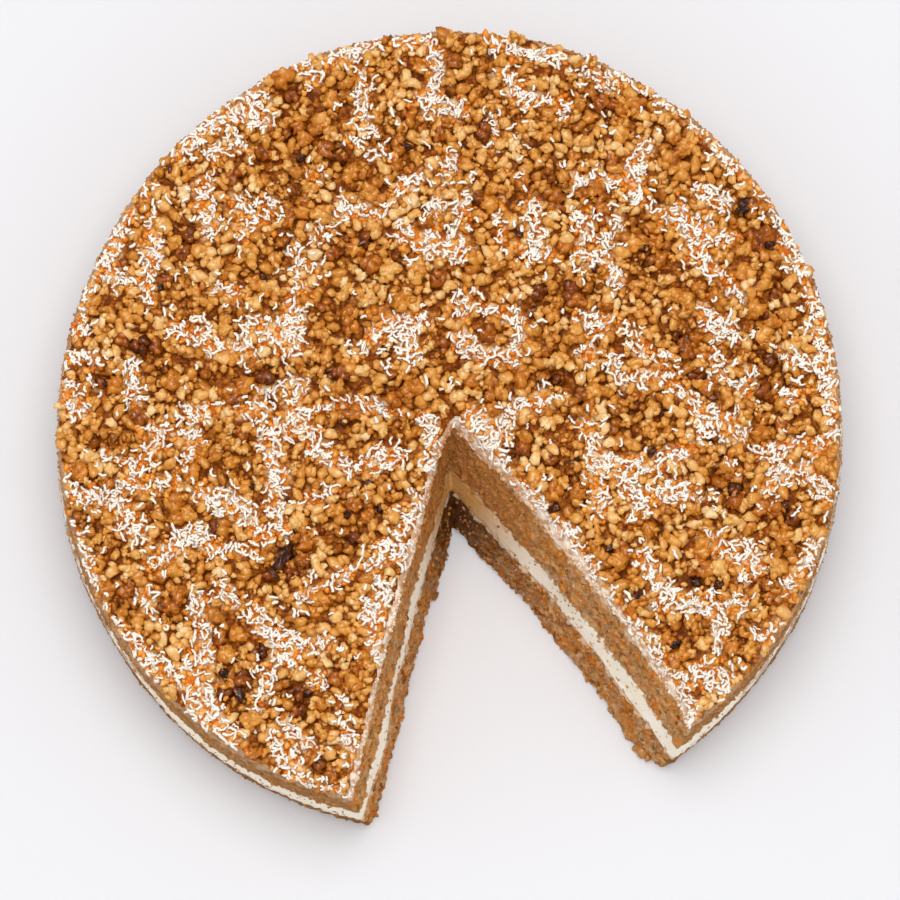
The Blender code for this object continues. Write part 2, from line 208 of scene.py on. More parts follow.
# Where coconut lies in veins and drifts: from x, y to x, y, and how wide, all in millimetres.
COCONUT_VEINS = (
    (-52, 120, -46, 114, 4), (-40, 120, -26, 126, 3), (-29, 116, -27, 99, 4), (-17, 128, -5, 126, 3),
    (-4, 124, -7, 106, 4), (-8, 109, 3, 105, 6), (1, 90, 0, 85, 4), (15, 127, 29, 122, 3),
    (32, 126, 39, 121, 3), (17, 117, 24, 109, 5), (24, 110, 37, 105, 4), (47, 117, 51, 112, 4),
    (54, 117, 62, 112, 3), (71, 109, 74, 104, 3), (15, 102, 14, 92, 3), (-67, 109, -63, 102, 7),
    (-79, 99, -67, 104, 5), (-94, 89, -79, 98, 4), (-79, 90, -72, 93, 5), (-35, 95, -22, 89, 2),
    (-47, 85, -45, 83, 3), (-101, 78, -99, 65, 3), (-99, 62, -101, 42, 5), (-108, 70, -113, 53, 4),
    (-113, 50, -104, 46, 4), (-118, 52, -123, 35, 3), (-82, 79, -79, 65, 5), (-71, 73, -69, 63, 5),
    (-72, 66, -62, 68, 4), (-62, 74, -58, 72, 3), (-44, 63, -35, 70, 4), (-38, 71, -23, 70, 5),
    (-22, 73, -15, 78, 3), (-15, 78, -8, 84, 3), (-15, 63, -7, 58, 5), (-5, 59, 5, 57, 5),
    (3, 58, 5, 76, 4), (-3, 80, -6, 62, 3), (17, 75, 18, 60, 2), (27, 71, 28, 57, 5),
    (22, 59, 33, 56, 4), (39, 81, 58, 82, 3), (58, 82, 64, 91, 5), (61, 80, 63, 74, 4),
    (44, 70, 46, 55, 5), (48, 62, 55, 48, 4), (55, 70, 54, 60, 3), (76, 70, 82, 58, 8),
    (82, 66, 92, 62, 5), (84, 77, 91, 73, 4), (84, 55, 88, 50, 4), (82, 99, 99, 81, 3),
    (99, 81, 110, 68, 3), (111, 64, 118, 48, 5), (118, 46, 124, 36, 3), (91, 47, 98, 41, 3),
    (-76, 45, -72, 42, 5), (-92, 31, -79, 27, 6), (-79, 25, -67, 23, 5), (-64, 32, -53, 26, 8),
    (-54, 32, -49, 44, 6), (-53, 58, -45, 50, 4), (-30, 24, -22, 34, 4), (-23, 31, -11, 34, 7),
    (-14, 30, -12, 24, 5), (5, 42, 4, 27, 3), (6, 27, 14, 22, 5), (14, 22, 22, 21, 5),
    (13, 38, 23, 35, 4), (23, 35, 23, 24, 4), (46, 34, 53, 33, 6), (46, 32, 46, 24, 4),
    (53, 22, 57, 13, 3), (57, 14, 67, 15, 4), (62, 28, 69, 20, 4), (70, 19, 80, 6, 3),
    (84, 38, 88, 28, 5), (88, 34, 96, 28, 3), (-105, 19, -104, 6, 4), (-124, 40, -123, 30, 4),
    (-127, 21, -117, 20, 3), (-128, 13, -122, 3, 4), (-118, 12, -114, 8, 2), (-86, 3, -76, 5, 4),
    (-76, 5, -60, 4, 3), (-62, 11, -50, 12, 3), (-52, 6, -45, -6, 5), (-60, 0, -50, -2, 4),
    (-44, 4, -36, 6, 3), (-60, -6, -56, -18, 5), (-45, -8, -34, -15, 4), (-27, -14, -19, -12, 5),
    (-32, 6, -16, 4, 3), (-8, 1, -5, -13, 4), (7, 1, 17, -2, 6), (11, -2, 16, -12, 5),
    (18, 3, 31, 7, 5), (45, 0, 49, -12, 5), (46, -13, 50, -30, 4), (50, -14, 66, -14, 4),
    (57, -18, 64, -28, 5), (66, -14, 78, -10, 5), (64, -26, 76, -23, 5), (76, -22, 84, -24, 3),
    (80, 6, 84, -2, 4), (85, 1, 97, -4, 7), (90, 15, 99, 9, 3), (86, 22, 100, 18, 2),
    (110, 23, 123, 19, 4), (122, 34, 127, 5, 4), (112, 8, 124, 12, 3), (128, -3, 121, -12, 4),
    (103, -10, 117, -7, 4), (105, -23, 112, -16, 6), (119, -14, 126, -28, 4), (-99, -2, -86, -4, 3),
    (-86, -4, -86, -12, 4), (-108, -20, -98, -8, 4), (-116, -10, -106, -14, 3),
    (-128, -16, -122, -14, 3), (-125, -24, -113, -25, 4), (-112, -26, -104, -37, 6),
    (-100, -22, -90, -20, 4), (-124, -36, -118, -53, 4), (-98, -47, -84, -37, 5),
    (-84, -36, -78, -42, 5), (-83, -23, -73, -30, 4), (-71, -24, -62, -40, 4), (-58, -20, -55, -36, 3),
    (-70, -42, -62, -44, 3), (-48, -26, -40, -24, 2), (-14, -34, -9, -27, 6), (-25, -42, -13, -43, 5),
    (-26, -46, -22, -58, 4), (-48, -58, -34, -50, 3), (-101, -55, -99, -62, 4), (-76, -54, -72, -60, 3),
    (38, -38, 54, -61, 5), (64, -46, 75, -59, 5), (68, -60, 78, -60, 5), (86, -39, 99, -50, 5),
    (96, -42, 100, -48, 7), (111, -56, 122, -40, 4), (-117, -58, -108, -68, 2),
    (-108, -71, -96, -83, 5), (-83, -60, -79, -76, 4), (-89, -85, -82, -89, 6), (-86, -76, -80, -82, 3),
    (-84, -95, -72, -107, 5), (-78, -88, -76, -100, 4), (-65, -61, -60, -72, 4),
    (-60, -73, -41, -74, 5), (-58, -78, -50, -78, 6), (-60, -84, -63, -94, 4), (-46, -88, -42, -84, 3),
    (-70, -111, -53, -121, 3), (-56, -107, -50, -118, 5), (-54, -100, -44, -110, 4),
    (-50, -120, -36, -124, 3), (-36, -90, -30, -124, 2), (-28, -66, -22, -62, 4),
    (-26, -62, -24, -78, 4), (56, -62, 76, -89, 4), (84, -60, 96, -62, 5), (88, -62, 90, -78, 4),
    (83, -84, 96, -88, 8), (78, -98, 86, -102, 4), (104, -72, 110, -68, 4),
)

# Where darker chunks of walnut lie together: x, y and reach in millimetres.
WALNUT_HEAPS = (
    (-53, 112, 4), (-49, 98, 6), (-30, 80, 6), (-15, 94, 4), (8, 119, 5), (-3, 96, 3), (50, 104, 6),
    (60, 108, 5), (74, 92, 5), (104, 60, 5), (64, 61, 7), (12, 70, 7), (32, 76, 6), (49, 75, 5),
    (-49, 70, 6), (-20, 52, 5), (-31, 60, 4), (-89, 58, 4), (-64, 48, 4), (-98, 48, 3), (80, 43, 5),
    (104, 32, 5), (106, 44, 4), (95, 50, 4), (78, 24, 5), (40, 44, 5), (30, 40, 5), (-34, 30, 5),
    (-12, 38, 4), (14, 13, 4), (30, 15, 5), (50, 15, 4), (-16, 12, 5), (-36, 6, 5), (-36, 14, 4),
    (-70, 12, 5), (86, 10, 4), (102, 18, 5), (-118, 16, 6), (-100, 26, 5), (-68, -24, 4), (-90, -28, 6),
    (-78, -30, 5), (-34, -31, 5), (-26, -30, 4), (-57, -46, 5), (-112, -58, 5), (-96, -58, 6),
    (-112, -20, 4), (-74, -70, 6), (-72, -88, 5), (-52, -92, 6), (-34, -86, 4), (-30, -78, 4),
    (-44, -114, 5), (-42, -60, 5), (42, -22, 6), (54, -42, 5), (92, -16, 6), (112, -30, 6),
    (120, -14, 4), (84, -52, 7), (76, -76, 5), (98, -76, 6), (96, -26, 5), (108, -56, 5), (20, -10, 4),
)

# Burnt bits large enough to be seen one by one: x, y and length in millimetres.
BURNT_BITS = (
    (-55, -45, 10), (98, 72, 7), (-70, -90, 7), (-74, -84, 5), (-96, 45, 4), (-56, 114, 4), (87, 8, 4),
    (15, 13, 4), (-17, 52, 4), (-21, 24, 4), (65, 58, 4), (106, 59, 5), (102, 31, 4), (110, -29, 5),
    (53, -42, 4), (82, -54, 5), (89, -54, 5), (-67, -22, 4), (-27, -20, 4), (-34, -31, 4),
    (-23, -29, 4), (-53, -27, 4), (-114, -57, 4), (-95, -61, 4), (-34, -86, 4), (-47, -90, 4),
    (-42, -113, 4), (-35, 0, 4), (41, -13, 4), (35, -29, 5), (62, -58, 5), (74, -74, 5), (93, -76, 4),
    (67, -10, 4), (48, 51, 4), (23, 63, 4), (31, 13, 4), (50, 15, 4), (-4, 96, 4), (-15, 92, 4),
    (77, 92, 4), (-118, 37, 4), (-115, 13, 4), (-62, 48, 4), (-50, 88, 4), (71, 3, 4), (91, -16, 4),
)


# --- the outline of the cake ----------------------------------------------------------------------


def smooth_step(low, high, value):
    """0 below low, 1 above high, and an even S between."""
    share = np.clip((value - low) / (high - low), 0.0, 1.0)
    return share * share * (3.0 - 2.0 * share)


def side_wave(angle, height):
    """How far the side stands out or in at this angle."""
    shape = SHIFT * np.cos(angle - SHIFT_ANGLE)
    shape += OVAL * np.cos(2.0 * (angle - OVAL_ANGLE))
    shape += THREE_SIDED * np.cos(3.0 * (angle - THREE_SIDED_ANGLE))
    shape += FOOT_SHIFT * cut_depth(height) * np.cos(angle - FOOT_SHIFT_ANGLE)
    for ripple, waves, start, turn in SIDE_RIPPLES:
        shape += ripple * np.cos(waves * angle + start + turn * height)
    return shape


def layer_wave(x, y, layer):
    """The gentle rise and fall of the surface between two layers. The foot and the icing's top are level."""
    height = 0.0 * x
    if layer is not None:
        for rise, pitch_x, pitch_y, shift in LAYER_WAVES:
            height += rise * np.cos(pitch_x * x + pitch_y * y + shift * layer)
    return height


def cut_direction(angle):
    """The level direction in which a cut runs from the point to the round side."""
    return np.array((math.sin(angle), -math.cos(angle)))


def into_gap(angle):
    """The level direction square to a cut, pointing into the gap."""
    along = cut_direction(angle)
    return np.array((-along[1], along[0])) if angle < 0.0 else np.array((along[1], -along[0]))


def left_face(along, depth):
    """How far the left cut face stands into the gap from its straight line, at this reach and depth."""
    bow = LEFT_BOW * smooth_step(*LEFT_BOW_GROWS, along)
    bow *= 1.0 - LEFT_BOW_FADE * smooth_step(*LEFT_BOW_FADES, along)
    foot = LEFT_LEAN - LEFT_LEAN_FADE * smooth_step(*LEFT_LEAN_FADES, along)
    foot -= LEFT_CORNER * smooth_step(*LEFT_CORNER_WEARS, along)
    return foot * depth**LEFT_LEAN_CURVE - bow


def right_face(along, depth):
    """How far the right cut face stands into the gap from its straight line, at this reach and depth."""
    bow = RIGHT_BOW * smooth_step(*RIGHT_BOW_GROWS, along)
    bow *= 1.0 - RIGHT_BOW_FADE * smooth_step(*RIGHT_BOW_FADES, along)
    bow -= RIGHT_BOW * smooth_step(*RIGHT_BOW_GROWS, 0.0)
    foot = RIGHT_LEAN + RIGHT_LEAN_AT_POINT * (1.0 - smooth_step(*RIGHT_LEAN_FADES, along))
    foot -= RIGHT_CORNER * smooth_step(*RIGHT_CORNER_WEARS, along)
    curve = RIGHT_LEAN_CURVE + (1.0 - RIGHT_LEAN_CURVE) * smooth_step(*RIGHT_CURVE_ENDS, along)
    return foot * depth**curve - bow


def cut_depth(height):
    """0 at the top of the cut and 1 at its foot."""
    return max(0.0, (CUT_HEIGHT - height) / CUT_HEIGHT)


def cut_meeting(depth):
    """Where the two cuts meet at this depth, from CUT_POINT."""
    left, right = into_gap(LEFT_CUT_ANGLE), into_gap(RIGHT_CUT_ANGLE)
    meeting = np.zeros(2)
    for _ in range(8):
        left_offset = left_face(meeting @ cut_direction(LEFT_CUT_ANGLE), depth)
        right_offset = right_face(meeting @ cut_direction(RIGHT_CUT_ANGLE), depth)
        meeting = np.linalg.solve(np.stack((left, right)), np.array((left_offset, right_offset)))
    return meeting


def side_radius(side, height, angle):
    """The radius of one layer's round side at this height and angle."""
    heights, radii = zip(*side)
    return np.interp(height, heights, radii) + side_wave(angle, height)


def cut_line(angle, face, height, reaches):
    """The points of one cut at this height, at these reaches from CUT_POINT."""
    level = height / WOBBLE_HEIGHT
    wobble = [noise.noise(Vector((reach / WOBBLE_LENGTH, level, CUTS_APART * angle))) for reach in reaches]
    offset = face(reaches, cut_depth(height)) + CUT_WOBBLE * np.array(wobble)
    return CUT_POINT + np.outer(reaches, cut_direction(angle)) + np.outer(offset, into_gap(angle))


def cut_end(angle, face, height, side):
    """The reach at which a cut runs out of the round side."""
    reaches = np.linspace(0.110, 0.145, 351)
    points = cut_line(angle, face, height, reaches)
    edge = side_radius(side, height, np.arctan2(points[:, 1], points[:, 0]))
    return reaches[np.argmax(np.hypot(points[:, 0], points[:, 1]) > edge)]


def outward(ring):
    """The level directions square to a ring that runs anticlockwise."""
    ahead = np.roll(ring, -1, axis=0) - np.roll(ring, 1, axis=0)
    square = np.stack((ahead[:, 1], -ahead[:, 0]), axis=1)
    return square / np.linalg.norm(square, axis=1, keepdims=True)


def smoothed(ring, rounds):
    """A closed ring of points or values, each drawn towards its neighbours."""
    for _ in range(rounds):
        ring = 0.25 * np.roll(ring, 1, axis=0) + 0.5 * ring + 0.25 * np.roll(ring, -1, axis=0)
    return ring


def inset(ring, distance):
    """The ring moved inward, or outward if distance is negative, with its corners kept from folding."""
    steps = max(1, math.ceil(abs(distance) / INSET_STEP))
    for _ in range(steps):
        ring = smoothed(ring - distance / steps * outward(ring), 1)
    return ring


def cake_ring(height, side):
    """The outline at this height: out along the right cut, round the side, and back along the left cut."""
    meeting = cut_meeting(cut_depth(height))
    cuts = []
    for angle, face in ((RIGHT_CUT_ANGLE, right_face), (LEFT_CUT_ANGLE, left_face)):
        start = meeting @ cut_direction(angle)
        reaches = np.linspace(start, cut_end(angle, face, height, side), CUT_STEPS + 1)
        points = cut_line(angle, face, height, reaches)
        points[0] = CUT_POINT + meeting
        cuts.append(points)
    right, left = cuts
    first = math.atan2(right[-1][1], right[-1][0])
    last = math.atan2(left[-1][1], left[-1][0]) + math.tau
    angles = np.linspace(first, last, SIDE_STEPS + 1)[1:-1]
    radii = side_radius(side, height, angles)
    arc = np.stack((radii * np.cos(angles), radii * np.sin(angles)), axis=1)
    return smoothed(np.concatenate((right, arc, left[:0:-1])), CORNER_ROUNDS)


def left_and_right(y):
    """1 where the round side faces left or right, falling to 0 in front and at the back."""
    return smooth_step(*OVERHANG_STARTS, y) * (1.0 - smooth_step(*OVERHANG_ENDS, y))


def side_distance(x, y):
    """How far inside the topping's edge on the round side a point lies."""
    overhang = LEAST_OVERHANG + MORE_OVERHANG * left_and_right(y)
    return side_radius(ICING_SIDE, HEAP_BASE, np.arctan2(y, x)) + overhang - np.hypot(x, y)


def cut_distances(x, y):
    """How far a point of the top lies from the right and the left cut. Both are negative in the gap."""
    from_point = (x - CUT_POINT[0], y - CUT_POINT[1])
    distances = []
    for angle, face in ((RIGHT_CUT_ANGLE, right_face), (LEFT_CUT_ANGLE, left_face)):
        along, inward = cut_direction(angle), into_gap(angle)
        reach = from_point[0] * along[0] + from_point[1] * along[1]
        offset = from_point[0] * inward[0] + from_point[1] * inward[1]
        distances.append(face(reach, 0.0) - offset)
    return distances


def cut_distance(x, y):
    """How far a point of the top lies from the nearer cut. It is negative in the gap."""
    return np.maximum(*cut_distances(x, y))


# --- meshes ---------------------------------------------------------------------------------------


def add_object(name, mesh, finish):
    """Links a finished mesh at the origin, smooth, with its material, riding on the cake's body."""
    mesh.shade_smooth()
    mesh.materials.append(finish)
    thing = bpy.data.objects.new(name, mesh)
    bpy.context.scene.collection.objects.link(thing)
    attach(thing, BODY)
    return thing


def mesh_of(bm, name):
    """A mesh of this name from a finished bmesh."""
    mesh = bpy.data.meshes.new(name)
    bm.to_mesh(mesh)
    bm.free()
    return mesh


def wall_rows(bottom, top, rows, rounding):
    """(height, setback, share of relief, share drawn in) of each row, from the underside to the top."""
    made = [(bottom, rounding, 0.0, 1.0), (bottom, rounding, 0.0, 0.06), (bottom, rounding, 0.2, 0.015)]
    for row in range(rows + 1):
        height = bottom + (top - bottom) * row / rows
        from_edge = min(height - bottom, top - height) / rounding
        setback = rounding * (1.0 - math.sqrt(max(0.0, 1.0 - (1.0 - min(1.0, from_edge)) ** 2)))
        made.append((height, setback, 0.5 + 0.5 * min(1.0, from_edge), 0.0))
    return made + [(top, rounding, 0.2, 0.015), (top, rounding, 0.0, 0.06), (top, rounding, 0.0, 1.0)]


def turns_from_gap(points):
    """The turn of each point about CUT_POINT, anticlockwise from -Y."""
    from_point = points - CUT_POINT
    return np.arctan2(from_point[:, 0], -from_point[:, 1]) % math.tau


def drawn_in(turns):
    """Where points at these turns come to lie on a half circle behind the point of the cuts.

    Every part of the outline can see it, so the flat surfaces that run in to it don't fold.
    """
    turns = np.clip(turns, *CAP_TURNS)
    return CUT_POINT + CAP_REACH * np.stack((np.sin(turns), -np.cos(turns)), axis=1)


def cap_spread(ring):
    """The ring of an outline drawn in to the half circle. Each cut goes to one end of it."""
    turns = turns_from_gap(ring)
    turns[: CUT_STEPS + 1] = CAP_TURNS[0]
    turns[CUT_STEPS + SIDE_STEPS :] = CAP_TURNS[1]
    return drawn_in(turns)


def wall_grid(side, waves, rows, rounding, relief, cut_share):
    """The rows of points of one layer's wall, from the middle of its underside to the middle of its top.

    Returns each row's height, the points, and the level directions outward from them.
    """
    bottom, top = side[0][0], side[-1][0]
    levels = wall_rows(bottom, top, rows, rounding)
    columns = len(cut_share)
    points = np.zeros((len(levels), columns, 3))
    ways = np.zeros((len(levels), columns, 2))
    for row, (height, setback, relief_share, drawn) in enumerate(levels):
        ring = inset(cake_ring(height, side), setback)
        ways[row] = outward(ring)
        ring = (1.0 - drawn) * ring + drawn * cap_spread(ring)
        share = (height - bottom) / (top - bottom)
        low, high = (layer_wave(ring[:, 0], ring[:, 1], wave) for wave in waves)
        points[row, :, 2] = height + (1.0 - share) * low + share * high
        points[row, :, :2] = ring
        if relief_share:
            depths = [relief(Vector(point), cut) for point, cut in zip(points[row], cut_share)]
            points[row, :, :2] += relief_share * np.array(depths)[:, None] * ways[row]
    middles = [np.full((1, columns, 3), (*CAP_MIDDLE, height)) for height in (bottom, top)]
    points = np.concatenate((middles[0], points, middles[1]))
    ways = np.concatenate((ways[:1], ways, ways[-1:]))
    return [bottom, *[level[0] for level in levels], top], points, ways


def wall_attributes(heights, points, cut_share):
    """What the finishes read at each point of a wall, by name, each from 0 to 1."""
    levels = (np.array(heights) - heights[0]) / (heights[-1] - heights[0])
    from_point = np.hypot(points[:, :, 0] - CUT_POINT[0], points[:, :, 1] - CUT_POINT[1])
    return {
        "cut": np.broadcast_to(cut_share, from_point.shape),
        "level": np.broadcast_to(levels[:, None], from_point.shape),
        # Painted shade in the deep corner at the point of the cuts.
        "point_shade": 1.0 - smooth_step(*POINT_SHADE_REACHES, from_point),
        "front": 1.0 - smooth_step(*FRONT_ENDS, points[:, :, 1]),
    }


def layer_wall(name, node, side, waves, rows, rounding, relief, finish):
    """One layer of the cake: a grid wrapped round its outline, closed at both ends, and roughened by relief.

    waves numbers the wavy surfaces below and above it. Returns the wall's points and its outward directions.
    """
    columns = 2 * CUT_STEPS + SIDE_STEPS
    on_cut = [float(not CUT_STEPS < column < CUT_STEPS + SIDE_STEPS) for column in range(columns)]
    cut_share = smoothed(np.array(on_cut), 3)
    heights, points, ways = wall_grid(side, waves, rows, rounding, relief, cut_share)
    attributes = wall_attributes(heights, points, cut_share)
    bm = bmesh.new()
    bmesh.ops.create_grid(bm, x_segments=columns, y_segments=len(heights) - 1, size=1.0)
    layers = {attribute: bm.verts.layers.float.new(attribute) for attribute in attributes}
    bm.verts.ensure_lookup_table()
    for row in range(len(heights)):
        for column in range(columns + 1):
            vert = bm.verts[row * (columns + 1) + column]
            vert.co = points[row, column % columns]
            for attribute, values in attributes.items():
                vert[layers[attribute]] = values[row, column % columns]
    bmesh.ops.remove_doubles(bm, verts=bm.verts, dist=0.000002)
    bmesh.ops.recalc_face_normals(bm, faces=bm.faces)
    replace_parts(add_object(name, mesh_of(bm, name), finish), node)
    return points, ways


# --- relief of the layers -------------------------------------------------------------------------


def sponge_relief(place, cut):
    """Torn, open crumb on the cuts, and a flatter baked skin with a few pores on the round side."""
    crumb = noise.voronoi(place / CRUMB_PITCH)[0][0]
    swell = noise.noise(place / 0.0060)
    grain = noise.noise(place / 0.0012)
    pore = min(0.0, noise.noise(place / 0.0026) + 0.22)
    depth = CRUMB_DEPTH * (0.50 - crumb) + SWELL_DEPTH * swell + GRAIN_DEPTH * grain + PORE_DEPTH * pore
    ragged_foot = FOOT_DEPTH * noise.noise(place / 0.0028) * max(0.0, 1.0 - place.z / 0.004)
    return (SIDE_SHARE + (1.0 - SIDE_SHARE) * cut) * (depth + cut * ragged_foot)


def cream_relief(place, cut):
    """Soft cream, dragged level by the knife and bulging a little on the round side."""
    swell = noise.noise(place / 0.0070)
    drag = noise.noise(Vector((place.x / 0.012, place.y / 0.012, place.z / 0.0011)))
    pit = min(0.0, noise.noise(place / 0.0018) + 0.30)
    return 0.00035 * swell + 0.00022 * drag + 0.0005 * pit - 0.0002 * cut


def icing_relief(place, cut):
    """Thin icing with a ragged lower edge, pushed out over the sponge to the left and right."""
    swell = noise.noise(place / 0.0050)
    fine = noise.noise(place / 0.0016)
    ragged = noise.noise(place / 0.0030) * max(0.0, 1.0 - (place.z - ICING_SIDE[0][0]) / 0.0016)
    out = ICING_OVERHANG * left_and_right(place.y) * (1.0 - cut)
    return out + 0.00045 * swell + 0.00030 * fine + 0.0009 * ragged * (0.7 + 0.3 * cut)


# --- the topping's field of heights ---------------------------------------------------------------


def plane_waves(x, y, size, seed):
    """A smooth random field between about -1 and 1, with hills about size across."""
    chance = random.Random(seed)
    count = 10
    total = 0.0
    for _ in range(count):
        turn = chance.uniform(0.0, math.tau)
        pitch = math.pi / (size * chance.uniform(0.75, 1.7))
        phase = chance.uniform(0.0, math.tau)
        total = total + np.cos(pitch * (x * math.cos(turn) + y * math.sin(turn)) + phase)
    return total / math.sqrt(2.0 * count)


def away_from_line(x, y, start, end):
    """How far each point lies from a straight line between two points."""
    along = np.subtract(end, start)
    share = ((x - start[0]) * along[0] + (y - start[1]) * along[1]) / (along @ along)
    share = np.clip(share, 0.0, 1.0)
    return np.hypot(x - start[0] - share * along[0], y - start[1] - share * along[1])


def coconut_cover(x, y):
    """From 0 to 1: how much coconut lies here, in veins with ragged edges and thin strays between them."""
    warp = 0.0012 * plane_waves(x, y, 0.0055, 11) + 0.0008 * plane_waves(x, y, 0.0020, 12)
    cover = 0.0 * x
    for *ends, width in COCONUT_VEINS:
        start_x, start_y, end_x, end_y = (0.001 * end for end in ends)
        away = away_from_line(x, y, (start_x, start_y), (end_x, end_y)) + warp
        cover = np.maximum(cover, 1.0 - smooth_step(0.0004 * width, 0.0020 + 0.0007 * width, away))
    strays = smooth_step(0.7, 1.3, plane_waves(x, y, 0.0045, 13))
    from_right_cut = cut_distances(x, y)[0] + 0.0015 * plane_waves(x, y, 0.006, 14)
    beside_cut = 1.0 - smooth_step(0.0020, 0.0048, np.abs(from_right_cut))
    beside_cut *= smooth_step(0.0, 0.002, CUT_POINT[1] - y)
    return np.maximum(cover, np.maximum(0.35 * strays, 0.95 * beside_cut))


def walnut_share(x, y):
    """From 0 to 1: how much of the heap here is darker chunks of walnut."""
    warp = 0.30 * plane_waves(x, y, 0.0060, 15)
    share = 0.0 * x
    for middle_x, middle_y, reach in WALNUT_HEAPS:
        away = np.hypot(x - 0.001 * middle_x, y - 0.001 * middle_y) / (0.001 * reach)
        share = np.maximum(share, 1.0 - smooth_step(0.5, 1.4, away + warp))
    return share


def cluster(x, y):
    """From 0 to 1: how high the nuts are heaped here."""
    return smooth_step(-0.9, 0.9, 0.8 * plane_waves(x, y, 0.0085, 21) + 0.5 * plane_waves(x, y, 0.0045, 22))


def bed_rise(x, y, cover):
    """How high the bed of fine crumbs stands, away from its edges."""
    bare = 1.0 - cover
    return BED_HEIGHT + 0.0002 * plane_waves(x, y, 0.004, 31) - 0.0004 * bare + 0.0010 * bare * cluster(x, y)


def bed_height(x, y, cover):
    """Height of the bed of fine crumbs under the loose pieces, thin at its edges."""
    return HEAP_BASE + bed_rise(x, y, cover) * smooth_step(0.0, BED_THIN_EDGE, bed_margin(x, y))


def bed_margin(x, y):
    """How far inside the bed's own edge a point lies. The bed stops short of the cuts alone."""
    return np.minimum(side_distance(x, y), cut_distance(x, y) - BED_SETBACK)


class Surface:
    """The rising surface of the topping, as heights on a square grid."""

    def __init__(self):
        self.count = int(round(2.0 * FIELD_HALF / FIELD_CELL))
        self.axis = (np.arange(self.count) + 0.5) * FIELD_CELL - FIELD_HALF
        y, x = np.meshgrid(self.axis, self.axis, indexing="ij")
        self.inside = side_distance(x, y)
        self.from_cut = cut_distance(x, y)
        self.cover = coconut_cover(x, y)
        self.walnuts = walnut_share(x, y)
        self.height = bed_height(x, y, self.cover)
        more = (HEAP_OVER_BARE + HEAP_IN_CLUSTER * cluster(x, y)) * (1.0 - self.cover)
        heaped = HEAP_OVER_COCONUT + more
        self.limit = np.minimum(HEAP_BASE + bed_rise(x, y, self.cover) + heaped, HEAP_CEILING)

    def cell(self, x, y):
        """The row and column that a place lies in."""
        column = int((x + FIELD_HALF) / FIELD_CELL)
        row = int((y + FIELD_HALF) / FIELD_CELL)
        return row, column

    def around(self, x, y, reach):
        """The rows and columns within reach of a point, and each cell's squared distance from it."""
        row, column = self.cell(x, y)
        span = int(reach / FIELD_CELL) + 1
        rows = slice(max(0, row - span), min(self.count, row + span + 1))
        columns = slice(max(0, column - span), min(self.count, column + span + 1))
        squared = (self.axis[rows, None] - y) ** 2 + (self.axis[None, columns] - x) ** 2
        return rows, columns, squared

    def rest(self, x, y, radius, tallness):
        """The height at which the middle of a rounded piece comes to rest, bedded a little among others."""
        rows, columns, squared = self.around(x, y, radius)
        under = squared < radius * radius
        bulge = tallness * np.sqrt(radius * radius - squared[under])
        return float(np.quantile(self.height[rows, columns][under] + bulge, 0.50))

    def add(self, x, y, z, radius, tallness):
        """Raises the surface by a rounded piece."""
        rows, columns, squared = self.around(x, y, radius)
        dome = z + tallness * np.sqrt(np.maximum(0.0, radius * radius - squared))
        covered = np.where(squared < radius * radius, dome, 0.0)
        self.height[rows, columns] = np.maximum(self.height[rows, columns], covered)


# --- loose pieces ---------------------------------------------------------------------------------


def shape_arrays(bm):
    """The points and triangles of a finished bmesh."""
    bmesh.ops.triangulate(bm, faces=bm.faces)
    bm.verts.index_update()
    points = np.array([vert.co for vert in bm.verts])
    faces = np.array([[vert.index for vert in face.verts] for face in bm.faces])
    bm.free()
    return points, faces


def roughened(bm, grit, size, breaks, seed):
    """Gives a ball of radius 1 uneven bumps of this size, and presses it nearly flat where it broke."""
    away = Vector((7.3, 2.9, 5.1)) * seed
    for vert in bm.verts:
        way = vert.co.normalized()
        vert.co = way * (1.0 + grit * noise.noise(way / size + away))
    chance = random.Random(seed)
    for _ in range(breaks):
        way = Vector([chance.gauss(0.0, 1.0) for _ in range(3)]).normalized()
        reach = chance.uniform(0.50, 0.85)
        for vert in bm.verts:
            vert.co -= 0.85 * max(0.0, vert.co.dot(way) - reach) * way
    return shape_arrays(bm)


def pebble_shape(seed):
    """A bit of chopped nut, lopsided, with a few flat breaks rounded by its syrup."""
    bm = bmesh.new()
    bmesh.ops.create_uvsphere(bm, u_segments=8, v_segments=6, radius=1.0)
    return roughened(bm, 0.75, 0.75, 4, seed)


def walnut_shape(seed):
    """A craggy lobe of walnut."""
    bm = bmesh.new()
    bmesh.ops.create_icosphere(bm, subdivisions=2, radius=1.0)
    return roughened(bm, 0.85, 0.50, 2, seed)


def crumb_shape(seed):
    """A small crumb, broken on one side."""
    bm = bmesh.new()
    bmesh.ops.create_icosphere(bm, subdivisions=1, radius=1.0)
    return roughened(bm, 0.6, 0.7, 1, seed)


def burnt_shape(seed):
    """A craggy bit of burnt sugar and nut skin."""
    bm = bmesh.new()
    bmesh.ops.create_icosphere(bm, subdivisions=3, radius=1.0)
    return roughened(bm, 0.75, 0.6, 2, seed)


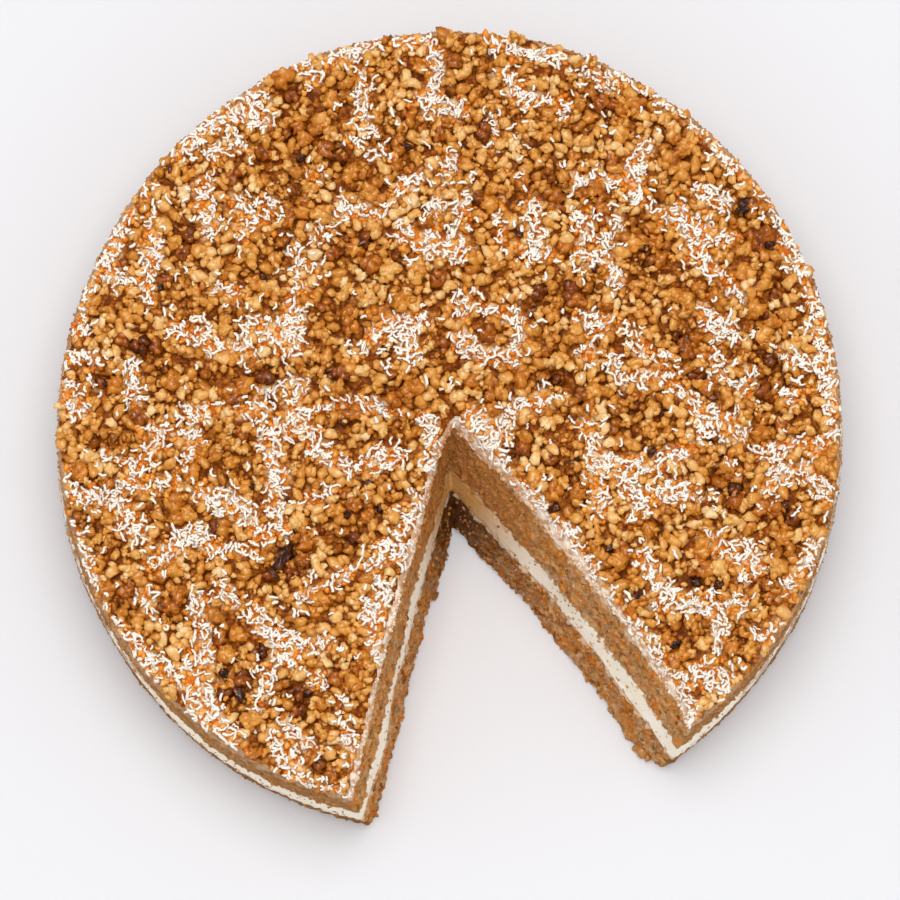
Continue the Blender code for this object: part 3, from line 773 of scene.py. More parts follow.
class Pieces:
    """Loose pieces of one kind, joined into one mesh. Each is a shape turned, stretched, moved and tinted.

    The tint falls a little towards the foot of a piece, as painted shade.
    """

    def __init__(self, name, shapes, seed):
        self.name = name
        self.shapes = shapes
        self.chance = random.Random(seed)
        self.placed = [[] for _ in shapes]

    def add(self, place, size, tilt, tint):
        """size is the half lengths along the piece, across it and through it. tilt is how far it may lean."""
        chance = self.chance
        turn = chance.uniform(0.0, math.tau)
        lean = Euler((chance.uniform(-tilt, tilt), chance.uniform(-tilt, tilt), turn), "XYZ")
        stretch = np.array(lean.to_matrix()) * np.array(size)
        self.placed[chance.randrange(len(self.shapes))].append((stretch, place, tint))

    def build(self, finish, node):
        """Joins all the pieces into one object, which stands for part of this node's surface."""
        points, faces, tints = [], [], []
        start = 0
        for (shape_points, shape_faces), placed in zip(self.shapes, self.placed):
            if not placed:
                continue
            stretches, places, own_tints = (np.array(values) for values in zip(*placed))
            moved = np.einsum("vk,njk->nvj", shape_points, stretches) + places[:, None, :]
            upward = (moved[:, :, 2] - places[:, None, 2]) / stretches[:, 2, 2, None].clip(0.0002)
            moved[:, :, 2] = np.maximum(moved[:, :, 2], 0.0)
            points.append(moved.reshape(-1, 3))
            firsts = start + len(shape_points) * np.arange(len(placed))
            faces.append((shape_faces[None] + firsts[:, None, None]).reshape(-1, 3))
            # Painted shade: the tint falls from each piece's top to its foot.
            tint = own_tints[:, None] + PAINTED_FOOT_SHADE * (np.clip(upward, -1.0, 1.0) - 0.5)
            tints.append(tint.reshape(-1))
            start += len(shape_points) * len(placed)
        mesh = joined_mesh(self.name, np.concatenate(points), np.concatenate(faces), np.concatenate(tints))
        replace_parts(add_object(self.name, mesh, finish), node)


def joined_mesh(name, points, faces, tints):
    """Many copies of shapes as one mesh, with a tint at each point for the finish to read."""
    mesh = bpy.data.meshes.new(name)
    mesh.from_pydata(points.tolist(), [], faces.tolist())
    layer = mesh.attributes.new("tint", "FLOAT", "POINT")
    layer.data.foreach_set("value", np.asarray(tints, dtype=np.float32))
    return mesh


# --- materials ------------------------------------------------------------------------------------


def colour(red, green, blue):
    """A colour from its everyday 0 to 255 values."""
    linear = []
    for share in (red / 255.0, green / 255.0, blue / 255.0):
        linear.append(share / 12.92 if share <= 0.04045 else ((share + 0.055) / 1.055) ** 2.4)
    return (*linear, 1.0)


class Finish:
    """One material while it is made: the shader, and the few kinds of node that the cake's finishes use."""

    def __init__(self, name, roughness, specular=0.4, coat=0.0, coat_roughness=0.0):
        self.material = bpy.data.materials.new(name)
        self.material.use_nodes = True
        self.tree = self.material.node_tree
        self.shader = self.tree.nodes["Principled BSDF"]
        self.shader.inputs["Roughness"].default_value = roughness
        self.shader.inputs["Specular IOR Level"].default_value = specular
        self.shader.inputs["Coat Weight"].default_value = coat
        self.shader.inputs["Coat Roughness"].default_value = coat_roughness
        self.place = self.tree.nodes.new("ShaderNodeTexCoord").outputs["Object"]

    def glow(self, weight, depth):
        """Lets light in under the surface by about this depth, reddest of all."""
        self.shader.inputs["Subsurface Weight"].default_value = weight
        self.shader.inputs["Subsurface Radius"].default_value = (1.0, 0.5, 0.2)
        self.shader.inputs["Subsurface Scale"].default_value = depth

    def link(self, source, socket):
        """Feeds one node's output to another's socket."""
        self.tree.links.new(source, socket)

    def attribute(self, name):
        """A value that the piece's own mesh holds at each point."""
        node = self.tree.nodes.new("ShaderNodeAttribute")
        node.attribute_name = name
        return node.outputs["Fac"]

    def warped(self, size, amount):
        """The place shifted by noise, so that what is drawn there has irregular edges."""
        wander = self.tree.nodes.new("ShaderNodeTexNoise")
        wander.inputs["Scale"].default_value = 1.0 / size
        self.link(self.place, wander.inputs["Vector"])
        node = self.tree.nodes.new("ShaderNodeVectorMath")
        node.operation = "MULTIPLY_ADD"
        self.link(wander.outputs["Color"], node.inputs[0])
        node.inputs[1].default_value = (amount, amount, amount)
        self.link(self.place, node.inputs[2])
        return node.outputs["Vector"]

    def noise(self, size, detail=3.0, place=None):
        """Smooth noise with lumps about this size across."""
        node = self.tree.nodes.new("ShaderNodeTexNoise")
        node.inputs["Scale"].default_value = 1.0 / size
        node.inputs["Detail"].default_value = detail
        self.link(place or self.place, node.inputs["Vector"])
        return node.outputs["Fac"]

    def patches(self, size, detail, low, high, place=None):
        """1 in lumps about this size across, and 0 where the noise is under low."""
        return self.share(self.noise(size, detail, place), low, high)

    def near_level(self, level, reach):
        """1 at this level of a layer, falling to 0 at this reach from it."""
        away = self.math("ABSOLUTE", self.math("SUBTRACT", self.attribute("level"), level), 0.0)
        return self.share(away, reach, 0.0)

    def cells(self, size, output="Distance", place=None):
        """Crumbs about this size across: their distance from the middle, or a colour each."""
        node = self.tree.nodes.new("ShaderNodeTexVoronoi")
        node.inputs["Scale"].default_value = 1.0 / size
        self.link(place or self.place, node.inputs["Vector"])
        return node.outputs[output]

    def ramp(self, source, stops):
        """Colours along a value, as (value, colour)."""
        node = self.tree.nodes.new("ShaderNodeValToRGB")
        marks = node.color_ramp.elements
        while len(marks) < len(stops):
            marks.new(0.5)
        for mark, (value, tone) in zip(marks, stops):
            mark.position = value
            mark.color = tone
        self.link(source, node.inputs["Fac"])
        return node.outputs["Color"]

    def share(self, source, low, high):
        """0 below low, 1 above high, and even between."""
        node = self.tree.nodes.new("ShaderNodeMapRange")
        node.inputs["From Min"].default_value = low
        node.inputs["From Max"].default_value = high
        self.link(source, node.inputs["Value"])
        return node.outputs["Result"]

    def math(self, operation, first, second):
        """Arithmetic on two values, each a number or another node's output."""
        node = self.tree.nodes.new("ShaderNodeMath")
        node.operation = operation
        for socket, value in zip(node.inputs, (first, second)):
            if isinstance(value, (int, float)):
                socket.default_value = value
            else:
                self.link(value, socket)
        return node.outputs["Value"]

    def mix(self, factor, low, high):
        """From low to high by factor. Each is a colour or another node's output."""
        node = self.tree.nodes.new("ShaderNodeMix")
        node.data_type = "RGBA"
        for socket, value in ((node.inputs[0], factor), (node.inputs[6], low), (node.inputs[7], high)):
            if isinstance(value, (int, float, tuple)):
                socket.default_value = value
            else:
                self.link(value, socket)
        return node.outputs[2]

    def over(self, tone, where, share, other):
        """The tone with another laid over it, where a value says so and by this share at most."""
        return self.mix(self.math("MULTIPLY", where, share), tone, other)

    def relief(self, height, depth):
        """Fine unevenness of the surface, too small for the mesh."""
        node = self.tree.nodes.new("ShaderNodeBump")
        node.inputs["Distance"].default_value = depth
        self.link(height, node.inputs["Height"])
        self.link(node.outputs["Normal"], self.shader.inputs["Normal"])

    def done(self, tone):
        """The material, with this as its colour."""
        self.link(tone, self.shader.inputs["Base Color"])
        return self.material


def sponge_crumb(finish, crumb_tones, point_shade_tone):
    """The tone of a cut: open crumb with patches, pores painted dark as shade, carrot flecks, and painted
    shade near the point.
    """
    crumbs = finish.cells(0.0030, "Color", finish.warped(0.0016, 0.0030))
    tone = finish.ramp(crumbs, crumb_tones)
    fine_crumbs = finish.ramp(finish.cells(0.0014, "Color", finish.warped(0.0010, 0.0016)), crumb_tones)
    tone = finish.mix(0.35, tone, fine_crumbs)
    greyer = finish.patches(0.0060, 5.0, 0.42, 0.60)
    greyest = finish.math("SUBTRACT", 0.74, finish.math("MULTIPLY", finish.attribute("point_shade"), 0.40))
    tone = finish.over(tone, greyer, greyest, colour(184, 146, 104))
    golden = finish.patches(0.0042, 4.0, 0.54, 0.66, finish.warped(0.003, 0.004))
    tone = finish.over(tone, golden, 0.75, colour(204, 122, 36))
    # Pores: dark spots of painted shade, as in holes of the crumb.
    pores = finish.patches(0.0024, 4.0, 0.55, 0.66)
    tone = finish.over(tone, pores, 0.70, colour(98, 54, 14))
    pale = finish.patches(0.0034, 4.0, 0.52, 0.62, finish.warped(0.002, 0.003))
    tone = finish.over(tone, pale, 0.55, colour(224, 184, 136))
    carrot = finish.patches(0.0031, 2.0, 0.655, 0.69, finish.warped(0.0012, 0.0030))
    tone = finish.over(tone, carrot, 0.75, colour(208, 108, 40))
    # Painted shade in the deep corner at the point of the cuts; the grey patches fade there as well.
    point_shade_mask = finish.share(finish.attribute("point_shade"), 0.0, 0.7)
    return finish.over(tone, point_shade_mask, 0.88, point_shade_tone)


def sponge_finish(name, skin, crumb_tones, point_shade_tone, cream_levels, cream_edge):
    """Carrot sponge: a baked skin on the round side, and an open crumb on the cuts.

    The knife smeared cream over the cuts at cream_levels of the layer, from 0 at its foot to 1 at its top.
    cream_edge is the level and the reach at which cream runs over the front of the round side.
    """
    finish = Finish(name, 0.9, 0.1)
    tone = sponge_crumb(finish, crumb_tones, point_shade_tone)
    ragged = finish.noise(0.0034, 4.0)
    for level in cream_levels:
        smear = finish.math("MULTIPLY", finish.near_level(level, 0.30), ragged)
        tone = finish.over(tone, finish.share(smear, 0.42, 0.50), 0.6, colour(236, 218, 192))
    side = finish.mix(finish.patches(0.0030, 5.0, 0.38, 0.60), skin, finish.mix(0.6, skin, tone))
    over_edge = finish.math("ADD", finish.near_level(*cream_edge), finish.math("MULTIPLY", ragged, 0.5))
    over_edge = finish.share(over_edge, 0.62, 0.70)
    side = finish.over(side, over_edge, finish.attribute("front"), colour(248, 234, 214))
    tone = finish.mix(finish.attribute("cut"), side, tone)
    grain = finish.noise(0.0013, 4.0)
    finish.relief(finish.math("ADD", grain, finish.cells(0.0022)), 0.0008)
    return finish.done(tone)


def cream_finish():
    """Cream filling: off white, with yellow-brown painted shade near the point, and crumbs dragged in at its
    borders.

    On the round side it is clean in front and smeared with crumbs, in patches, everywhere else.
    """
    finish = Finish("cream", 0.5)
    tone = finish.mix(finish.patches(0.006, 3.0, 0.35, 0.65), colour(255, 247, 230), colour(252, 239, 216))
    cut = finish.attribute("cut")
    # Painted shade on the cut cream near the point.
    point_shade_mask = finish.math("MULTIPLY", finish.share(finish.attribute("point_shade"), 0.2, 0.8), cut)
    tone = finish.over(tone, point_shade_mask, 0.95, colour(204, 148, 68))
    borders = finish.math("MAXIMUM", finish.near_level(0.0, 0.42), finish.near_level(1.0, 0.42))
    borders = finish.math("MULTIPLY", borders, cut)
    crumbs = finish.math("ADD", finish.noise(0.0030, 4.0), finish.math("MULTIPLY", borders, 0.18))
    tone = finish.over(tone, finish.share(crumbs, 0.67, 0.71), 0.8, colour(198, 142, 80))
    clean = finish.math("MAXIMUM", finish.attribute("front"), cut)
    patches = finish.patches(0.0058, 6.0, 0.42, 0.54, finish.warped(0.004, 0.004))
    smeared = finish.math("MULTIPLY", finish.math("SUBTRACT", 1.0, clean), patches)
    crumbly = finish.patches(0.0016, 4.0, 0.35, 0.65)
    tone = finish.over(tone, smeared, 0.88, finish.mix(crumbly, colour(118, 74, 34), colour(204, 160, 112)))
    finish.relief(finish.noise(0.0012, 3.0), 0.0004)
    return finish.done(tone)


def icing_finish():
    """Thin icing: pinkish white where it was cut, and hidden under crumbs and smears on the round side."""
    finish = Finish("icing", 0.55)
    smear = finish.patches(0.0032, 5.0, 0.44, 0.56)
    tone = finish.over(colour(246, 228, 208), smear, 0.85, colour(198, 142, 86))
    side = finish.mix(finish.patches(0.0030, 4.0, 0.40, 0.62), colour(168, 120, 80), colour(196, 156, 118))
    tone = finish.mix(finish.share(finish.attribute("cut"), 0.0, 0.6), side, tone)
    finish.relief(finish.noise(0.0011, 3.0), 0.0005)
    return finish.done(tone)


# Tones by a value from 0, darkest, to 1, palest.
NUT_TONES = (
    (0.00, colour(92, 38, 0)),
    (0.17, colour(158, 84, 10)),
    (0.34, colour(198, 124, 40)),
    (0.55, colour(222, 154, 68)),
    (0.80, colour(236, 184, 112)),
    (1.00, colour(248, 210, 154)),
)
WALNUT_TONES = (
    (0.00, colour(76, 30, 0)),
    (0.25, colour(146, 70, 8)),
    (0.50, colour(196, 114, 28)),
    (0.75, colour(224, 150, 60)),
    (1.00, colour(242, 188, 112)),
)
STUCK_TONES = (
    (0.00, colour(140, 86, 34)),
    (0.40, colour(180, 124, 62)),
    (0.70, colour(206, 148, 78)),
    (1.00, colour(218, 142, 54)),
)
CRUMB_TONES = (
    (0.00, colour(190, 88, 10)),
    (0.30, colour(228, 128, 28)),
    (0.60, colour(244, 162, 62)),
    (1.00, colour(252, 212, 148)),
)
BED_CRUMB_TONES = (
    (0.25, colour(224, 118, 22)),
    (0.45, colour(242, 150, 46)),
    (0.60, colour(250, 184, 96)),
    (0.75, colour(255, 224, 176)),
)
# Dark syrup under the nuts, made darker as painted shade between them.
BED_SYRUP_AND_SHADE_TONES = (
    (0.25, colour(110, 48, 2)),
    (0.50, colour(162, 82, 14)),
    (0.75, colour(206, 124, 36)),
)
# Coconut tones: its own white on top, and warm painted shade for the sides and underside of each shred.
COCONUT_LIT_AND_SHADED_TONES = (
    (0.00, colour(250, 180, 104)),
    (0.40, colour(255, 230, 200)),
    (0.70, colour(255, 247, 234)),
)
LUMP_TONES = (
    (0.00, colour(212, 156, 104)),
    (0.35, colour(238, 208, 176)),
    (0.70, colour(253, 238, 220)),
)
BURNT_TONES = (
    (0.35, colour(36, 14, 4)),
    (0.55, colour(76, 34, 10)),
    (0.72, colour(156, 82, 32)),
)
CARROT_TONES = (
    (0.00, colour(176, 84, 30)),
    (0.50, colour(212, 110, 42)),
    (1.00, colour(232, 150, 74)),
)


def syrup_finish(name, tones, mottling):
    """Nuts or crumbs in syrup: each piece has its own tint, mottled a little, with a soft gloss."""
    finish = Finish(name, 0.45, specular=0.08, coat=0.12, coat_roughness=0.28)
    finish.glow(0.2, 0.0012)
    mottle = finish.math("MULTIPLY", finish.math("SUBTRACT", finish.noise(0.0022, 5.0), 0.5), mottling)
    tone = finish.ramp(finish.math("ADD", finish.attribute("tint"), mottle), tones)
    finish.relief(finish.noise(0.0017, 2.0), 0.0006)
    return finish.done(tone)


def bed_finish():
    """The bed under the loose pieces: orange crumbs under coconut, dark syrup and painted shade under nuts.
    """
    finish = Finish("crumb_bed", 0.6, 0.05)
    crumbs = finish.ramp(finish.cells(0.0014, "Color"), BED_CRUMB_TONES)
    syrup = finish.ramp(finish.cells(0.0014, "Color"), BED_SYRUP_AND_SHADE_TONES)
    tone = finish.mix(finish.attribute("cover"), syrup, crumbs)
    # Painted shade between the bed's crumbs, away from the coconut.
    between_crumbs = finish.share(finish.cells(0.0014), 0.35, 0.60)
    shade_in_gaps = finish.math("MULTIPLY", between_crumbs, finish.share(finish.attribute("cover"), 1.2, 0.2))
    tone = finish.over(tone, shade_in_gaps, 0.5, colour(112, 52, 10))
    finish.relief(finish.cells(0.0014), -0.0008)
    return finish.done(tone)


def coconut_finish():
    """Coconut: bright white on top; its sides and underside carry warm painted shade and bounce light."""
    finish = Finish("coconut", 0.6, 0.2)
    return finish.done(finish.ramp(finish.attribute("tint"), COCONUT_LIT_AND_SHADED_TONES))


def lump_finish():
    """Bits of icing and coconut stuck together along the cuts."""
    finish = Finish("icing_lumps", 0.6, 0.1)
    return finish.done(finish.ramp(finish.attribute("tint"), LUMP_TONES))


def burnt_finish():
    """Burnt sugar and nut skin, nearly black, with a dull gloss."""
    finish = Finish("burnt", 0.40, specular=0.1, coat=0.08, coat_roughness=0.2)
    tone = finish.ramp(finish.noise(0.0022, 3.0), BURNT_TONES)
    finish.relief(finish.noise(0.0012, 3.0), 0.0008)
    return finish.done(tone)


def carrot_finish():
    """Grated carrot, from dark to bright orange."""
    finish = Finish("carrot", 0.5)
    return finish.done(finish.ramp(finish.attribute("tint"), CARROT_TONES))


def floor_finish():
    """A plain pale floor without gloss."""
    finish = Finish("floor", 0.75, 0.0)
    return finish.done(finish.mix(finish.noise(0.4, 1.0), colour(229, 229, 232), colour(231, 231, 234)))


# --- the layers -----------------------------------------------------------------------------------

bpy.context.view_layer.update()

TOP_CRUMB_TONES = (
    (0.26, colour(152, 98, 38)),
    (0.40, colour(188, 134, 68)),
    (0.50, colour(216, 166, 104)),
    (0.62, colour(220, 150, 60)),
    (0.72, colour(224, 132, 32)),
)
BOTTOM_CRUMB_TONES = (
    (0.26, colour(110, 60, 8)),
    (0.40, colour(158, 98, 28)),
    (0.50, colour(190, 132, 58)),
    (0.60, colour(206, 134, 40)),
    (0.70, colour(216, 120, 26)),
)
# Each sponge's darkest tone, given near the point of the cuts, is painted shade.
top_crumb = sponge_finish(
    "top_sponge_crumb",
    skin=colour(160, 112, 66),
    crumb_tones=TOP_CRUMB_TONES,
    point_shade_tone=colour(176, 114, 52),
    cream_levels=(0.0, 1.0),
    cream_edge=(0.0, 0.16),
)
bottom_crumb = sponge_finish(
    "bottom_sponge_crumb",
    skin=colour(136, 96, 58),
    crumb_tones=BOTTOM_CRUMB_TONES,
    point_shade_tone=colour(66, 30, 0),
    cream_levels=(1.0,),
    cream_edge=(1.0, 0.40),
)

bottom_wall = layer_wall(
    name="bottom_sponge_crumb",
    node="bottom_sponge",
    side=BOTTOM_SPONGE_SIDE,
    waves=(None, 1),
    rows=38,
    rounding=0.0009,
    relief=sponge_relief,
    finish=bottom_crumb,
)
cream_wall = layer_wall(
    name="cream_layer",
    node="cream_filling",
    side=CREAM_SIDE,
    waves=(1, 2),
    rows=18,
    rounding=0.0010,
    relief=cream_relief,
    finish=cream_finish(),
)
top_wall = layer_wall(
    name="top_sponge_crumb",
    node="top_sponge",
    side=TOP_SPONGE_SIDE,
    waves=(2, 3),
    rows=42,
    rounding=0.0008,
    relief=sponge_relief,
    finish=top_crumb,
)
icing_wall = layer_wall(
    name="icing_coat",
    node="top_icing",
    side=ICING_SIDE,
    waves=(3, None),
    rows=10,
    rounding=0.0009,
    relief=icing_relief,
    finish=icing_finish(),
)


# --- the topping ----------------------------------------------------------------------------------


def nut_bed(finish):
    """The low bed that the loose pieces lie on: crumbs in relief, thin at the edges and closed underneath."""
    bm = bmesh.new()
    cover_layer = bm.verts.layers.float.new("cover")
    bmesh.ops.create_grid(bm, x_segments=BED_CELLS, y_segments=BED_CELLS, size=BED_HALF)
    verts = list(bm.verts)
    x, y = np.array([vert.co.xy for vert in verts]).T
    ragged = 0.0005 * plane_waves(x, y, 0.003, 41)
    outside = [vert for vert, margin in zip(verts, bed_margin(x, y) - ragged) if margin < 0.0]
    bmesh.ops.delete(bm, geom=outside, context="VERTS")
    loose = [vert for vert in bm.verts if len(vert.link_faces) == 0]
    bmesh.ops.delete(bm, geom=loose, context="VERTS")
    rim = [vert for vert in bm.verts if vert.is_boundary]
    bmesh.ops.smooth_vert(bm, verts=rim, factor=0.5, use_axis_x=True, use_axis_y=True)
    verts = list(bm.verts)
    x, y = np.array([vert.co.xy for vert in verts]).T
    covers = coconut_cover(x, y)
    for vert, height, cover in zip(verts, bed_height(x, y, covers), covers):
        vert[cover_layer] = cover
        crumb = noise.voronoi(Vector((vert.co.x, vert.co.y, 0.0)) / BED_CRUMB_PITCH)[0][0]
        grain = noise.noise(vert.co / 0.0012)
        vert.co.z = height + BED_CRUMB_DEPTH * (0.45 - crumb) + 0.0002 * grain
    for share_drawn_in in (0.0, 1.0, 1.0):
        border = [edge for edge in bm.edges if edge.is_boundary]
        skirt = bmesh.ops.extrude_edge_only(bm, edges=border)["geom"]
        low_verts = [item for item in skirt if isinstance(item, bmesh.types.BMVert)]
        places = np.array([vert.co.xy for vert in low_verts])
        drawn = drawn_in(turns_from_gap(places))
        for vert, place in zip(low_verts, places + share_drawn_in * (drawn - places)):
            vert.co = (*place, BED_UNDERSIDE)
    bmesh.ops.pointmerge(bm, verts=low_verts, merge_co=(*CAP_MIDDLE, BED_UNDERSIDE))
    bmesh.ops.recalc_face_normals(bm, faces=bm.faces)
    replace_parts(add_object("nut_bed", mesh_of(bm, "nut_bed"), finish), "nut_topping")


def spot(chance):
    """A random place on the round top."""
    angle = chance.uniform(0.0, math.tau)
    radius = TRIED_REACH * math.sqrt(chance.random())
    return radius * math.cos(angle), radius * math.sin(angle)


def tint_here(x, y, chance):
    """Nuts are browner in some clusters and paler in others."""
    patch = 0.8 * plane_waves(x, y, 0.010, 51) + 0.5 * plane_waves(x, y, 0.0045, 52)
    patch -= 1.3 * float(walnut_share(x, y))
    return min(1.0, max(0.03, 0.54 + 0.18 * patch + chance.gauss(0.0, 0.16)))


def walnut_tint(_x, _y, chance):
    """Walnut is darker than the other nuts, wherever it lies."""
    return 0.44 + chance.gauss(0.0, 0.18)


def crumb_tint(_x, _y, chance):
    """Orange crumbs vary alike everywhere."""
    return 0.5 + chance.gauss(0.0, 0.2)


def keep_walnut(cover, share):
    """Walnut lies in its own heaps, with a few strays, and never on coconut."""
    return (0.08 + 0.92 * share) * (1.0 - cover)


def keep_nut(cover, _share):
    """Chopped nuts lie everywhere, though few of them on coconut."""
    return 1.0 - 0.92 * cover


def keep_crumb(cover, _share):
    """Orange crumbs lie under the coconut."""
    return cover


def keep_fine(cover, _share):
    """The finest bits of nut keep off the coconut."""
    return 1.0 - cover


def stretched(chance, radius, *shares):
    """Half lengths along, across and through a piece, each a random share of its radius."""
    return tuple(radius * chance.uniform(*share) for share in shares)


def add_nut(surface, pieces, x, y, z, radius, tint):
    """A bit of nut, flattened a little, and often two grown together."""
    chance = pieces.chance
    lobes = [(x, y, z, radius)]
    if chance.random() < TWIN_SHARE:
        turn = chance.uniform(0.0, math.tau)
        away = radius * chance.uniform(0.65, 1.0)
        twin = radius * chance.uniform(0.65, 0.95)
        drop = radius * chance.uniform(0.0, 0.35)
        lobes.append((x + away * math.cos(turn), y + away * math.sin(turn), z - drop, twin))
    for *place, lobe in lobes:
        size = stretched(chance, lobe, (1.0, 1.45), (0.80, 1.0), (0.72, 0.94))
        pieces.add(place, size, LOOSE_TILT, tint)
        surface.add(*place, lobe, FLATNESS)


def add_walnut(surface, pieces, x, y, z, radius, tint):
    """A larger piece of walnut: a few lobes grown into each other."""
    chance = pieces.chance
    first_turn = chance.uniform(0.0, math.tau)
    for number in range(chance.randint(3, 6)):
        lobe = radius * chance.uniform(0.50, 0.78)
        away = radius - 0.9 * lobe
        climb = chance.uniform(-0.4, 0.7)
        turn = first_turn + 2.1 * number + chance.uniform(-0.5, 0.5)
        level = away * math.sqrt(1.0 - climb * climb)
        place = (x + level * math.cos(turn), y + level * math.sin(turn), z + FLATNESS * away * climb)
        size = stretched(chance, lobe, (1.0, 1.4), (0.8, 1.0), (0.75, 0.9))
        pieces.add(place, size, LOOSE_TILT, tint + chance.gauss(0.0, 0.05))
        surface.add(*place, lobe, FLATNESS)


def scatter(surface, pieces, add_piece, tries, radii, margin, slack, tint, keep):
    """Tries places all over the top, and keeps a piece where it doesn't stand above the heap's limit.

    radii are the least, most and usual. margin is the usual distance from the cuts, and slack the height over
    the limit that is let pass. tint(x, y, chance) gives each piece its tint, and keep(cover, walnut_share) is
    the chance that it may lie there.
    """
    chance = pieces.chance
    for _ in range(tries):
        x, y = spot(chance)
        row, column = surface.cell(x, y)
        radius = chance.triangular(*radii)
        from_cut = surface.from_cut[row, column] - radius
        if surface.inside[row, column] < RIM_SHARE * radius or from_cut < margin * chance.uniform(0.3, 1.7):
            continue
        if chance.random() > keep(surface.cover[row, column], surface.walnuts[row, column]):
            continue
        z = surface.rest(x, y, radius, FLATNESS)
        if z + FLATNESS * radius > surface.limit[row, column] + slack:
            continue
        add_piece(surface, pieces, x, y, z, radius, tint(x, y, chance))


def cling(pieces, wall, columns, count, radii, lows_only=False):
    """Crumbs that stay stuck to these columns of one layer's wall, or along its foot alone."""
    points, ways = wall
    chance = pieces.chance
    for _ in range(count):
        column = chance.choice(columns)
        row = chance.randint(5, 8) if lows_only else chance.randint(6, len(points) - 7)
        radius = chance.triangular(*radii)
        x, y, z = points[row, column]
        out = chance.uniform(-0.5, 0.1) * radius
        place = (x + out * ways[row, column, 0], y + out * ways[row, column, 1], max(z, radius))
        size = stretched(chance, radius, (1.0, 1.3), (0.7, 1.0), (0.6, 0.9))
        # Crumbs near the point of the cuts get painted shade.
        point_shade = 1.0 - smooth_step(*POINT_SHADE_REACHES, math.hypot(x - CUT_POINT[0], y - CUT_POINT[1]))
        pieces.add(place, size, math.pi, chance.gauss(0.42, 0.20) - 0.40 * point_shade)


def stick(pieces, angle, face, reach, radius, tint):
    """One lump stuck to the foot of a cut."""
    x, y = cut_line(angle, face, 0.0, np.array((reach,)))[0]
    pieces.add((x, y, 0.9 * radius), (1.2 * radius, radius, 0.9 * radius), 0.3, tint)


def burnt_bits(surface, pieces):
    """The large burnt bits, laid down first, each at its own place."""
    for x, y, length in BURNT_BITS:
        x, y, radius = 0.001 * x, 0.001 * y, 0.00034 * length
        z = min(surface.rest(x, y, radius, 0.6) + 0.0014, BURNT_CEILING - 1.15 * radius)
        pieces.add((x, y, z), (1.35 * radius, 0.85 * radius, 0.75 * radius), 0.4, 0.5)
        surface.add(x, y, z, radius, 0.7)


def shred_path(chance, x, y, length):
    """A short crooked line from a place, as level points."""
    heading = chance.uniform(0.0, math.tau)
    here = Vector((x, y))
    path = []
    for _ in range(SHRED_SECTIONS):
        path.append(here.copy())
        heading += chance.gauss(0.0, 0.80)
        here += Vector((math.cos(heading), math.sin(heading))) * length / (SHRED_SECTIONS - 1)
    return path


def shred_heights(surface, path, half_width):
    """How high a shred lies along its path, draped over what is under it."""
    heights = []
    for point in path:
        rows, columns, _ = surface.around(point.x, point.y, half_width)
        heights.append(float(np.quantile(surface.height[rows, columns], 0.8)))
    heights = np.maximum(np.array(heights), np.mean(heights) - 0.0002)
    heights[1:-1] = 0.25 * heights[:-2] + 0.5 * heights[1:-1] + 0.25 * heights[2:]
    return heights + 0.15 * half_width


def shred_points(path, heights, half_width):
    """The corners of a shred: a diamond across its path at each of its points."""
    spine = np.array([(point.x, point.y, height) for point, height in zip(path, heights)])
    ahead = np.gradient(spine[:, :2], axis=0)
    across = np.stack((-ahead[:, 1], ahead[:, 0], np.zeros(SHRED_SECTIONS)), axis=1)
    across /= np.linalg.norm(across, axis=1, keepdims=True)
    turns = math.tau * np.arange(SHRED_SIDES) / SHRED_SIDES
    reach = half_width * SHRED_TAPER[:, None, None]
    wide = reach * np.cos(turns)[None, :, None] * across[:, None, :]
    tall = 0.5 * reach * np.sin(turns)[None, :, None] * np.array((0.0, 0.0, 1.0))
    return (spine[:, None, :] + wide + tall).reshape(-1, 3)


def shred_faces():
    """The triangles of one shred: a closed tube with flat ends."""
    faces = []
    for low in range(0, (SHRED_SECTIONS - 1) * SHRED_SIDES, SHRED_SIDES):
        for side in range(SHRED_SIDES):
            after = (side + 1) % SHRED_SIDES
            near, far = low + side, low + after
            faces += [(near, far, far + SHRED_SIDES), (near, far + SHRED_SIDES, near + SHRED_SIDES)]
    last = (SHRED_SECTIONS - 1) * SHRED_SIDES
    faces += [(0, 2, 1), (0, 3, 2), (last, last + 1, last + 2), (last, last + 2, last + 3)]
    return np.array(faces)


def coconut(name, surface, finish, count, seed):
    """Shreds of coconut draped over the crumbs, short, crooked and lying across each other."""
    chance = random.Random(seed)
    points = []
    for _ in range(SHRED_TRIES * count):
        if len(points) == count:
            break
        x, y = spot(chance)
        row, column = surface.cell(x, y)
        if chance.random() > SHRED_STRAYS + (1.0 - SHRED_STRAYS) * surface.cover[row, column]:
            continue
        half_width = chance.uniform(*SHRED_HALF_WIDTHS)
        path = shred_path(chance, x, y, chance.triangular(*SHRED_LENGTHS))
        cells = [surface.cell(*point) for point in path]
        past_side = min(surface.inside[cell] for cell in cells) < -SHRED_OVER_SIDE
        past_cut = min(surface.from_cut[cell] for cell in cells) < -SHRED_OVER_CUT
        if past_side or past_cut:
            continue
        heights = shred_heights(surface, path, half_width) + chance.uniform(0.0, 0.0005)
        if heights.max() > surface.limit[row, column] + SHRED_OVER_HEAP:
            continue
        points.append(shred_points(path, heights, half_width))
    each = SHRED_SECTIONS * SHRED_SIDES
    starts = each * np.arange(len(points))
    faces = (shred_faces()[None] + starts[:, None, None]).reshape(-1, 3)
    # Painted shade: the tint is 1 on the upper corner of each shred, 0.5 at its sides and 0 underneath.
    upward = np.sin(math.tau * np.arange(SHRED_SIDES) / SHRED_SIDES)
    tints = np.tile(0.5 + 0.5 * upward, SHRED_SECTIONS * len(points))
    mesh = joined_mesh(name, np.concatenate(points), faces, tints)
    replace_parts(add_object(name, mesh, finish), "nut_topping")


